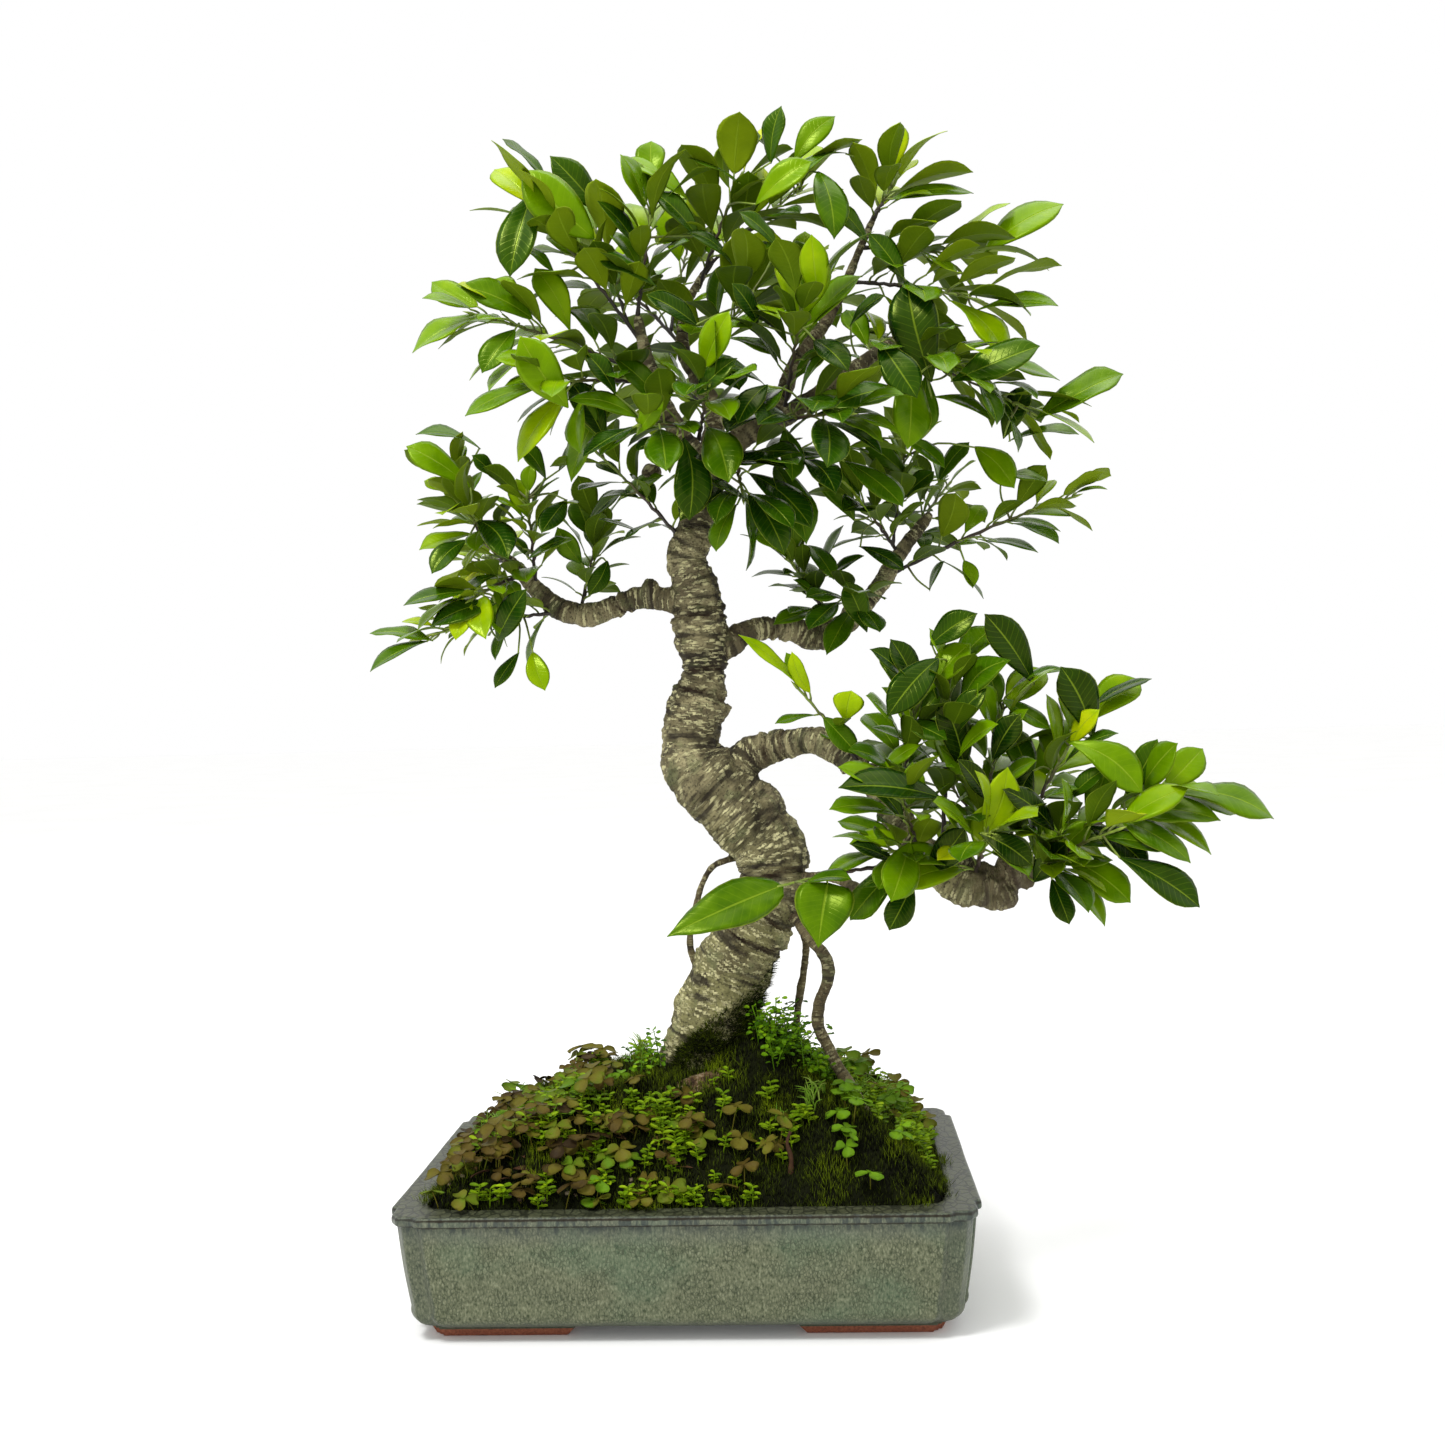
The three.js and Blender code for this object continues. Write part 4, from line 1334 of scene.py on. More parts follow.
    def climber(self, rng: Random) -> MeshPile:
        """Stands darker blades on the foot of the trunk, highest on its right.

        Args:
            rng: The random source.

        Returns:
            The blades.
        """
        trunk = np.array(LIMBS[0].points)
        pile = MeshPile()
        while pile.count < self.climbing * 4:
            turn = rng.uniform(-self.climb_right, self.climb_left)
            z = rng.uniform(-14.0, self.climb_height * (1 - abs(turn) / 2.4) ** 0.8 + 4.0)
            if z > self.climb_height * rng.uniform(0.3, 1.0) and rng.uniform() < 0.8:
                continue
            x, y, radius = (float(np.interp(z, trunk[:, 2], trunk[:, k])) for k in (0, 1, 3))
            away = np.array([math.cos(turn), math.sin(turn), 0.0])
            foot = np.array([x, y, z]) + away * (radius - 1.0)
            length = self.blade_length * rng.uniform(0.7, 1.7)
            out = unit(away + np.array([*rng.normal(0, 0.4, 2), rng.uniform(-0.3, 1.2)]))
            level = unit(np.cross(out, [0.0, 0.0, 1.0])) * self.blade_width / 2
            deep = unit(np.cross(level, out)) * self.blade_width * 0.7
            tone = float(np.clip(rng.normal(0.46, 0.18), 0.06, 0.95))
            corners = np.array([foot - level, foot + level, foot - deep, foot + out * length])
            # Feet are darker than tips: painted shade where the blades crowd on the bark.
            pile.add(corners, BLADE_FACES, tone=[tone * 0.4] * 3 + [tone])
        return pile

    def build(self, anchor: Anchor, moss: Material) -> list[Piece]:
        """Makes the moss.

        Args:
            anchor: Where the plant stands.
            moss: The moss material.

        Returns:
            The cushion, the blades of its left and right halves, and the moss on the trunk.
        """
        rng = np.random.default_rng(self.seed)
        return [
            self.sheet().build("moss_cushion", [moss], anchor.from_pot_middle),
            self.tufts(-1, rng).build("moss_blades_left", [moss], anchor.from_pot_middle),
            self.tufts(1, rng).build("moss_blades_right", [moss], anchor.from_pot_middle),
            self.climber(rng).build("moss_on_trunk", [moss], anchor.from_collar),
        ]


def leaflet(pile: MeshPile, base: Row, heading: Row, up: Row, size: Point, tone: float) -> None:
    """Adds one small closed leaf.

    Args:
        pile: The pile that takes it.
        base: Where it starts.
        heading: Its direction, of length 1.
        up: The way its face looks.
        size: Length, width and how blunt its end is, from 0 to 1; a blunt leaf is notched.
        tone: Its colour from 0 to 1.
    """
    length, width, blunt = size
    side = unit(np.cross(heading, up))
    lift = unit(np.cross(side, heading))
    wide_parts = (0.05, 0.55, 0.85 + 0.1 * blunt, 0.75 + 0.25 * blunt, 0.35 + 0.45 * blunt)
    rows = []
    for share, wide in zip((0.0, 0.25, 0.5, 0.75, 0.93), wide_parts):
        centre = base + heading * length * share - lift * length * 0.22 * share * share
        half, edge = side * width / 2 * wide, lift * width * 0.10
        rows += [centre - half + edge, centre - lift * 0.12, centre + half + edge]
    tip = len(rows)
    rows.append(base + heading * length * (0.78 if blunt > 0.5 else 1.0) - lift * length * 0.24)
    top = np.array(rows)
    faces: list[Face] = [(a, a + 1, a + 4, a + 3) for k in range(0, tip - 3, 3) for a in (k, k + 1)]
    faces += [(tip - 3, tip - 2, tip), (tip - 2, tip - 1, tip)]
    flipped = [tuple(len(top) + i for i in face[::-1]) for face in faces]
    rim = [*range(0, tip, 3), tip, *range(tip - 1, 0, -3)]
    after = rim[1:] + rim[:1]
    walls = [(b, a, a + len(top), b + len(top)) for a, b in zip(rim, after)]
    pile.add(np.concatenate([top, top - lift * 0.35]), faces + flipped + walls, 0, tone=tone)


class Weed(Enum):
    """The small plants that grow in the moss."""

    CLOVER = "clover"
    SEEDLING = "seedling"
    LEAFY = "leafy_weed"
    GRASS = "grass_tuft"


WEED_PATCHES: dict[Weed, tuple[Patch, ...]] = {
    Weed.CLOVER: (
        Patch(-140, -50, 38, 70, 40, 0.32),
        Patch(-100, -100, 65, 24, 30, 0.3),
        Patch(-50, -90, 60, 34, 20, 0.35),
        Patch(-90, -40, 60, 60, 22, 0.62),
        Patch(20, -106, 60, 20, 12, 0.4),
        Patch(130, -80, 34, 40, 14, 0.8),
        Patch(-120, 70, 50, 40, 30, 0.35),
        Patch(60, 90, 80, 30, 26, 0.6),
        Patch(140, 40, 34, 60, 26, 0.55),
        Patch(-70, -126, 100, 5, 12, 0.5),
        Patch(-160, -40, 14, 80, 14, 0.45),
    ),
    Weed.SEEDLING: (
        Patch(-125, -20, 48, 80, 60),
        Patch(-60, -90, 70, 34, 60),
        Patch(30, -85, 60, 36, 34),
        Patch(20, 70, 120, 45, 60),
        Patch(140, 10, 36, 80, 50),
        Patch(-60, -126, 120, 5, 26),
        Patch(164, -20, 10, 90, 24),
    ),
    Weed.LEAFY: (
        Patch(62, -34, 14, 14, 16),
        Patch(84, -26, 20, 18, 22),
        Patch(40, 30, 34, 20, 10),
        Patch(-30, -20, 14, 20, 6),
    ),
    Weed.GRASS: (
        Patch(128, 0, 30, 40, 12),
        Patch(-150, 10, 24, 60, 6),
        Patch(0, 60, 100, 50, 10),
        Patch(100, -80, 50, 25, 4),
    ),
}


@dataclass
class WeedBed:
    """One kind of weed as it is planted: the moss under it, the random source and the pile it joins."""

    moss: MossCushion
    rng: Random
    pile: MeshPile = field(default_factory=MeshPile)

    def around(self, angle: float, rise: float) -> Row:
        """Gives the direction of length 1 at an angle about the stem, with its rise."""
        return unit(np.array([math.cos(angle), math.sin(angle), rise]))

    def tone(self, middle: float, spread: float) -> float:
        """Draws a colour from 0 to 1 about a middle one."""
        return float(np.clip(middle + self.rng.normal(0, spread), 0, 1))

    def stalk(self, foot: Row, head: Row, radius: float, tone: float) -> None:
        """Adds a thin stem from a little below the moss.

        Args:
            foot: Its foot on the moss.
            head: Its upper end.
            radius: Its radius.
            tone: Its colour from 0 to 1.
        """
        low = foot - [0, 0, 2.0]
        middle = (low + head) / 2 + np.array([0.0, 0.0, 0.12 * float(np.linalg.norm(head - low))])
        self.pile.tube(smooth_curve([low, middle, head], 4), np.full(4, radius), 4, tone=tone)

    def clover(self, x: float, y: float, share: float, tone: float) -> None:
        """Plants a clover with three leaflets.

        Args:
            x: Place along the pot.
            y: Place across the pot.
            share: How big it is, from 0 to 1.
            tone: Its colour from 0 to 1.
        """
        rng = self.rng
        spread = 14.0 + 11.0 * share
        foot = self.moss.ground(x, y)
        head = foot + np.array([*rng.normal(0, 3.0, 2), spread * rng.uniform(0.25, 0.75) + 2.0])
        self.stalk(foot, head, 0.45, 0.5)
        turn = rng.uniform(0, FULL_TURN)
        own_tone = self.tone(tone, 0.16)
        up = unit(np.array([*rng.normal(0, 0.3, 2), 1.0]) + np.array([0, -0.3, 0]))
        for k in range(3):
            away = self.around(turn + k * FULL_TURN / 3, 0.1)
            away = unit(away - up * float(away @ up) * 0.9)
            leaflet(self.pile, head, away, up, (spread * 0.5, spread * 0.5, 1.0), own_tone)

    def seedling(self, x: float, y: float, share: float, tone: float) -> None:
        """Plants a small plant with narrow leaves all round its stem.

        Args:
            x: Place along the pot.
            y: Place across the pot.
            share: How big it is, from 0 to 1.
            tone: How much lighter it is.
        """
        rng = self.rng
        size, leaves = 6.0 + 9.0 * share, 6 + int(6 * share)
        foot = self.moss.ground(x, y)
        head = foot + np.array([*rng.normal(0, size * 0.15, 2), size])
        self.stalk(foot, head, 0.5, 0.7)
        for k in range(leaves):
            base = foot + (head - foot) * (0.25 + 0.75 * (k + 1) / leaves)
            away = self.around(k * GOLDEN_ANGLE + rng.uniform(0, 0.6), rng.uniform(0.15, 0.8))
            length = min(size * rng.uniform(0.45, 0.75), rng.uniform(5.0, 8.5))
            shape = (length, length * 0.52, 0.3)
            leaflet(self.pile, base, away, np.array([0, -0.3, 1.0]), shape, self.tone(0.7 + tone, 0.12))

    def creeper(self, x: float, y: float, share: float, tone: float) -> None:
        """Plants a loose weed of small round leaves on fine bent stems.

        Args:
            x: Place along the pot.
            y: Place across the pot.
            share: How big it is, from 0 to 1.
            tone: How much lighter it is.
        """
        rng = self.rng
        size, leaves = 10.0 + 24.0 * share, 10 + int(12 * share)
        foot = self.moss.ground(x, y)
        head = foot + np.array([*rng.normal(0, size * 0.3, 2), size])
        self.stalk(foot, head, 0.4, 0.5)
        own_tone = rng.normal(0.55, 0.15) + tone
        for k in range(leaves):
            base = foot + (head - foot) * (0.15 + 0.85 * (k + 1) / leaves)
            away = self.around(k * GOLDEN_ANGLE + rng.uniform(0, 0.9), rng.uniform(-0.2, 0.6))
            spot = base + away * rng.uniform(1.0, 5.0)
            length = rng.uniform(2.6, 5.4)
            face = np.array([*rng.normal(0, 0.3, 2), 1.0]) + np.array([0, -0.4, 0])
            leaflet(self.pile, spot, away, face, (length, length * 0.85, 0.5), self.tone(own_tone, 0.12))

    def grass(self, x: float, y: float, share: float, tone: float) -> None:
        """Plants a tuft of thin arching blades.

        Args:
            x: Place along the pot.
            y: Place across the pot.
            share: How big it is, from 0 to 1.
            tone: How much lighter it is.
        """
        rng = self.rng
        size, blades = 14.0 + 18.0 * share, 9 + int(6 * share)
        radii = np.array([0.45, 0.55, 0.5, 0.42, 0.3, 0.06])
        for _ in range(blades):
            foot = self.moss.ground(x + rng.normal(0, 2.5), y + rng.normal(0, 2.5)) - [0, 0, 1.5]
            heading = rng.uniform(0, FULL_TURN)
            length = size * rng.uniform(0.6, 1.15)
            out = np.array([math.cos(heading), math.sin(heading), 0.0]) * length * rng.uniform(0.2, 0.7)
            tip = foot + out + [0, 0, length * rng.uniform(0.5, 0.85)]
            line = smooth_curve([foot, foot + out * 0.3 + [0, 0, length * 0.55], tip], 6)
            self.pile.tube(line, radii, 4, tone=self.tone(0.72 + tone, 0.12))


@dataclass
class WeedPatches:
    """All the small plants in the moss, one piece per kind."""

    moss: MossCushion
    seed: int = 5

    def build(self, anchor: Anchor, finishes: dict[Weed, Material]) -> list[Piece]:
        """Makes all the weeds.

        Args:
            anchor: Where the plant stands.
            finishes: A material for each kind.

        Returns:
            One piece per kind.
        """
        rng = np.random.default_rng(self.seed)
        pieces = []
        for kind, patches in WEED_PATCHES.items():
            bed = WeedBed(self.moss, rng)
            plant = {
                Weed.CLOVER: bed.clover,
                Weed.SEEDLING: bed.seedling,
                Weed.LEAFY: bed.creeper,
                Weed.GRASS: bed.grass,
            }[kind]
            for patch in patches:
                for x, y, share in self.moss.scatter(rng, patch):
                    plant(x, y, share, patch.tone)
            pieces.append(bed.pile.build(kind.value, [finishes[kind]], anchor.from_pot_middle))
        return pieces


@dataclass
class Litter:
    """Pebbles, dry leaves and a dead stub that lie on the moss."""

    moss: MossCushion
    pebbles: Patch = Patch(-90, -116, 80, 10, 30)
    dry_leaves: Patch = Patch(-70, -100, 100, 24, 14)
    stub_place: tuple[float, float] = (72.0, -112.0)
    stub_line: tuple[Point, ...] = ((0, 0, -4), (1, 0, 9), (-1.5, 0, 20), (1, 1, 27))
    seed: int = 31

    def pebble(self, pile: MeshPile, rng: Random, place: Row, size: float) -> None:
        """Adds a pebble with a lumpy surface.

        Args:
            pile: The pile that takes it.
            rng: The random source.
            place: Its middle.
            size: Its mean radius.
        """
        turns = np.linspace(-math.pi / 2, math.pi / 2, 7)
        line = place + np.outer(np.sin(turns), [0.0, 0.0, 1.0]) * size * 0.7
        line = line + rng.normal(0, 0.08 * size, line.shape)
        radii = np.maximum(np.cos(turns) * size * rng.uniform(0.85, 1.15, 7), 0.05)
        pile.tube(line, radii, 9, tone=float(rng.uniform(0.2, 1.0)))

    def build(self, anchor: Anchor, stone: Material, dead: Material) -> list[Piece]:
        """Makes the litter.

        Args:
            anchor: Where the plant stands.
            stone: The pebbles' material.
            dead: The material of dry leaves and the stub.

        Returns:
            The pebbles, then the dry leaves with the stub.
        """
        rng = np.random.default_rng(self.seed)
        stones, dry = MeshPile(), MeshPile()
        for x, y, share in self.moss.scatter(rng, self.pebbles):
            self.pebble(stones, rng, self.moss.ground(x, y) + [0, 0, 1.0], 0.7 + 1.5 * share**2)
        for x, y, share in self.moss.scatter(rng, self.dry_leaves):
            heading = unit(np.array([*rng.normal(0, 1, 2), 0.15]))
            length = 9.0 + 13.0 * share
            place = self.moss.ground(x, y) + [0, 0, 4.0]
            up = np.array([*rng.normal(0, 0.35, 2), 1.0])
            leaflet(dry, place, heading, up, (length, length * 0.36, 0.1), float(rng.uniform(0.1, 0.8)))
        line = smooth_curve(self.moss.ground(*self.stub_place) + np.array(self.stub_line), 12)
        dry.tube(line, np.linspace(2.0, 1.1, 12) * rng.uniform(0.8, 1.2, 12), 9, tone=0.2)
        return [
            stones.build("pebbles", [stone], anchor.from_pot_middle),
            dry.build("dry_leaves", [dead], anchor.from_pot_middle),
        ]


# ---- Wood -----------------------------------------------------------------------------------


@dataclass
class Wood:
    """Trunk, limbs and hanging roots, grown together into one skin."""

    limbs: Sequence[Limb]
    voxel: float = 1.3
    step: float = 2.0
    sides: int = 24
    ring_sway: float = 0.006
    scar_width: float = 0.0016
    scar_depth: float = 0.0022
    welt_offset: float = 0.0042
    welt_width: float = 0.0018
    welt_height: float = 0.0013
    burl: Point = (218.0, -60.0, 136.0)
    burl_reach: float = 0.026
    knobs: tuple[tuple[float, float, float, float, float], ...] = (
        (35, -18, 473, 9.5, 7.0),
        (-27, -2, 438, 7.0, 6.0),
        (-31, 2, 352, 6.5, 9.0),
        (118, 30, 332, 8.0, 7.0),
        (206, -60, 131, 17.0, 13.0),
        (226, -62, 146, 12.0, 11.0),
        (232, -54, 136, 10.0, 8.0),
        (188, -58, 144, 14.0, 12.0),
        (34, -18, 186, 16.0, 13.0),
        (58, -14, 140, 15.0, 14.0),
        (12, -16, 208, 17.0, 13.0),
        (-6, -10, 232, 12.0, 11.0),
        (16, 8, 262, 10.0, 8.0),
        (10, -10, 330, 13.0, 8.0),
    )

    def lines(self) -> list[tuple[Limb, Row]]:
        """Samples each limb's centre line.

        Returns:
            Each limb with rows of X, Y, Z and radius.
        """
        found = []
        for limb in self.limbs:
            rough = np.array(limb.points)
            length = float(np.linalg.norm(np.diff(rough[:, :3], axis=0), axis=1).sum())
            found.append((limb, smooth_curve(limb.points, max(int(length / self.step), 4))))
        return found

    def rough_skin(self, anchor: Anchor, lines: list[tuple[Limb, Row]]) -> Piece:
        """Lays overlapping tubes and knobs and fuses them into one skin.

        Args:
            anchor: Where the plant stands.
            lines: The sampled centre lines.

        Returns:
            The fused piece.
        """
        pile = MeshPile()
        for limb, line in lines:
            seed = sum(ord(letter) for letter in limb.name)
            wobble = [noise.noise(Vector((k * self.step * 0.06, seed, 0.0))) for k in range(len(line))]
            radii = line[:, 3] * (1 + 0.07 * np.array(wobble))
            if limb.name != "trunk":
                radii[-3:] *= np.array([0.95, 0.85, 0.6])
            pile.tube(line[:, :3], radii, self.sides)
        turn = np.linspace(-math.pi / 2, math.pi / 2, 13)
        axis = unit(np.array([0.2, -0.3, 1.0]))
        for x, y, z, radius, height in self.knobs:
            line = np.array([x, y, z]) + axis * (np.sin(turn) * height)[:, None]
            pile.tube(line, np.maximum(np.cos(turn) * radius, 0.3), self.sides)
        wood = pile.build("wood", [], anchor.from_collar)
        fuse = wood.modifiers.new("fuse", "REMESH")
        fuse.mode = "VOXEL"
        fuse.voxel_size = self.voxel * MM
        soften = wood.modifiers.new("soften", "SMOOTH")
        soften.factor = 0.5
        soften.iterations = 4
        return settle(wood)

    def along_limbs(
        self, anchor: Anchor, lines: list[tuple[Limb, Row]], places: Row
    ) -> tuple[Row, Row, Row, Row]:
        """Finds the limb that each point of the skin belongs to.

        Args:
            anchor: Where the plant stands.
            lines: The sampled centre lines.
            places: The points of the skin.

        Returns:
            For each point its limb's centre, the way along it, the gap to its nearest ring, and how
            thin it is.
        """
        count = len(places)
        best = np.full(count, np.inf)
        centres = np.zeros((count, 3))
        arc, ring, slender = np.zeros(count), np.ones(count), np.zeros(count)
        sway = np.array([noise.noise(Vector(place) * 45.0) for place in places]) * self.ring_sway
        for number, (limb, line) in enumerate(lines):
            centre = anchor.from_collar(line[:, :3])
            travelled = np.concatenate([[0.0], np.cumsum(np.linalg.norm(np.diff(centre, axis=0), axis=1))])
            tree = kdtree.KDTree(len(centre))
            for k, point in enumerate(centre):
                tree.insert(point, k)
            tree.balance()
            found = [tree.find(place) for place in places]
            index = np.array([nearest[1] for nearest in found])
            gap = np.array([nearest[2] for nearest in found]) - line[index, 3] * MM
            win = gap < best
            best[win] = gap[win]
            centres[win] = centre[index[win]]
            arc[win] = travelled[index[win]] + number * 1.7
            is_root = limb.name.startswith("aerial")
            slender[win] = 0.9 if is_root else float(np.clip((9.0 - line[:, 3].mean()) / 6.0, 0, 1))
            ring[win] = 1.0
            for share in limb.rings:
                near = np.abs(travelled[index] - share * travelled[-1] + sway)
                ring[win] = np.minimum(ring[win], near[win])
        return centres, arc, ring, slender

    def build(self, anchor: Anchor, bark: Material) -> Piece:
        """Makes the wood with its bark relief.

        Args:
            anchor: Where the plant stands.
            bark: The bark material.

        Returns:
            The wood as one piece.
        """
        lines = self.lines()
        wood = self.rough_skin(anchor, lines)
        mesh = wood.data
        mesh.materials.clear()
        mesh.materials.append(bark)
        count = len(mesh.vertices)
        places, normals = np.empty(count * 3), np.empty(count * 3)
        mesh.vertices.foreach_get("co", places)
        mesh.vertices.foreach_get("normal", normals)
        places, normals = places.reshape(-1, 3), normals.reshape(-1, 3)
        centres, arc, ring, slender = self.along_limbs(anchor, lines, places)
        out = places - centres
        bark_place = np.column_stack([out[:, 0], out[:, 1] + 0.6 * out[:, 2], arc])
        scar = np.exp(-((ring / self.scar_width) ** 2))
        welt = np.exp(-(((ring - self.welt_offset) / self.welt_width) ** 2))
        from_burl = np.linalg.norm(places - anchor.from_collar(np.array(self.burl)), axis=1)
        gnarl = np.clip(1.6 - from_burl / self.burl_reach, 0.0, 1.0)
        push, groove = np.zeros(count), np.zeros(count)
        for k in range(count):
            x, y, z = bark_place[k]
            free = Vector(places[k])
            level = noise.noise(Vector((x * 34, y * 34, z * 210)))
            fine = noise.noise(Vector((x * 120, y * 120, z * 520)))
            lumps = ((50.0, 0.0020), (120.0, 0.0015), (260.0, 0.0009))
            knots = ((95.0, 0.0052), (230.0, 0.0018))
            groove[k] = min(max((-level - 0.18) * 4.0, 0.0), 1.0)
            push[k] = sum(noise.noise(free * scale) * size for scale, size in lumps)
            push[k] += level * 0.0010 + fine * 0.0008
            push[k] += gnarl[k] * sum(noise.noise(free * scale) * size for scale, size in knots)
        push *= np.clip(np.linalg.norm(out, axis=1) / 0.014, 0.25, 1.0)
        push += welt * self.welt_height - scar * self.scar_depth
        places = places + normals * push[:, None]
        mesh.vertices.foreach_set("co", places.ravel())
        mesh.polygons.foreach_set("use_smooth", [True] * len(mesh.polygons))
        vector = mesh.attributes.new("bark_place", "FLOAT_VECTOR", "POINT")
        vector.data.foreach_set("vector", bark_place.ravel())
        for name, values in (("scar", scar), ("groove", groove), ("gnarl", gnarl), ("slender", slender)):
            mesh.attributes.new(name, "FLOAT", "POINT").data.foreach_set("value", values)
        mesh.update()
        return wood


# ---- Foliage --------------------------------------------------------------------------------


@dataclass(frozen=True)
class Stem:
    """A twig of a shoot: where it starts and ends, and how many leaves it has."""

    start: Optional[Point]
    end: Point
    leaves: int


@dataclass
class Leaf:
    """Where one leaf stands: its blade, its face, its colour and its stalk's start."""

    foot: Row
    tip: Row
    face: Row
    width: float
    tone: float
    stalk_start: Row
    belly: float = 0.0


SHOOTS: dict[str, tuple[Stem, ...]] = {
    "crown_shoot_01": (Stem((-23, -25, 504), (-146, -60, 547), 5),),
    "crown_shoot_02": (Stem((-27, -30, 525), (-101, -50, 621), 5), Stem(None, (-62, -10, 614), 3),),
    "crown_shoot_03": (Stem((-23, -24, 500), (-91, -100, 488), 4),),
    "crown_shoot_04": (Stem((-32, -34, 546), (-18, -40, 628), 4),),
    "crown_shoot_05": (Stem((-4, 32, 538), (-63, 80, 606), 4), Stem(None, (-1, 110, 642), 4),),
    "crown_shoot_06": (Stem((9, 40, 584), (42, 20, 658), 4), Stem(None, (88, 40, 656), 4),),
    "crown_shoot_07": (Stem((141, 36, 627), (158, 30, 652), 3),),
    "crown_shoot_08": (Stem((133, 36, 609), (212, 50, 603), 4),),
    "crown_shoot_09": (Stem((123, 34, 583), (215, 10, 561), 4),),
    "crown_shoot_10": (Stem((143, -13, 521), (203, -40, 502), 3), Stem(None, (250, -20, 471), 4),),
    "crown_shoot_11": (Stem((9, -12, 460), (22, -95, 482), 3), Stem(None, (-26, -90, 459), 3),),
    "crown_shoot_12": (Stem((72, -12, 475), (88, -70, 543), 5),),
    "crown_shoot_13": (Stem((57, -11, 468), (118, -90, 462), 4),),
    "crown_shoot_14": (Stem((34, -8, 453), (42, -55, 411), 3), Stem(None, (108, -30, 441), 3),),
    "crown_shoot_15": (Stem((103, 30, 549), (86, 110, 607), 5),),
    "crown_shoot_16": (Stem((129, -14, 511), (170, 70, 550), 5),),
    "crown_shoot_17": (Stem((20, 18, 485), (-36, 110, 532), 5),),
    "crown_shoot_18": (Stem((5, 26, 515), (49, -30, 559), 5),),
    "left_shoot_01": (Stem((-147, 19, 387), (-162, -25, 409), 4),),
    "left_shoot_02": (Stem((-159, 18, 395), (-179, 15, 439), 4),),
    "left_shoot_03": (Stem((-129, 20, 367), (-158, -35, 346), 4),),
    "left_shoot_04": (Stem((-119, 20, 356), (-117, -25, 419), 5),),
    "left_shoot_05": (Stem((-138, 20, 377), (-182, 90, 382), 5),),
    "left_shoot_06": (Stem((-92, 20, 338), (-190, 0, 324), 5),),
    "left_shoot_07": (Stem((-86, 19, 337), (-72, 40, 402), 5),),
    "left_shoot_08": (Stem((0, 0, 380), (-62, -30, 448), 3),),
    "right_shoot_01": (Stem((127, 38, 336), (113, -10, 339), 3),),
    "right_shoot_02": (Stem((106, 33, 320), (73, 20, 372), 4),),
    "right_shoot_03": (Stem((157, 44, 376), (127, 20, 415), 3), Stem(None, (163, 50, 451), 4),),
    "right_shoot_04": (Stem((161, 44, 380), (202, 110, 437), 5),),
    "right_shoot_05": (Stem((145, 42, 358), (290, 48, 416), 5),),
    "low_shoot_01": (Stem((126, -40, 211), (78, -70, 274), 3),),
    "low_shoot_02": (Stem((145, -47, 182), (161, -50, 258), 5),),
    "low_shoot_03": (Stem((176, -55, 146), (186, -50, 286), 5),),
    "low_shoot_04": (Stem((200, -58, 138), (223, -40, 256), 5),),
    "low_shoot_05": (Stem((218, -58, 142), (275, -50, 240), 5),),
    "low_shoot_06": (Stem((222, -58, 140), (336, -75, 197), 5),),
    "low_shoot_07": (Stem((229, -58, 138), (289, -110, 173), 3), Stem(None, (252, -75, 146), 3),),
    "low_shoot_08": (Stem((165, -54, 153), (136, -80, 160), 3), Stem(None, (146, -110, 197), 3),),
    "low_shoot_09": (Stem((197, -58, 135), (203, -120, 172), 4),),
    "low_shoot_10": (Stem((211, -58, 138), (259, 30, 208), 5), Stem(None, (176, 30, 217), 4),),
    "front_shoot": (Stem((158, -54, 148), (64, -95, 139), 3),),
}
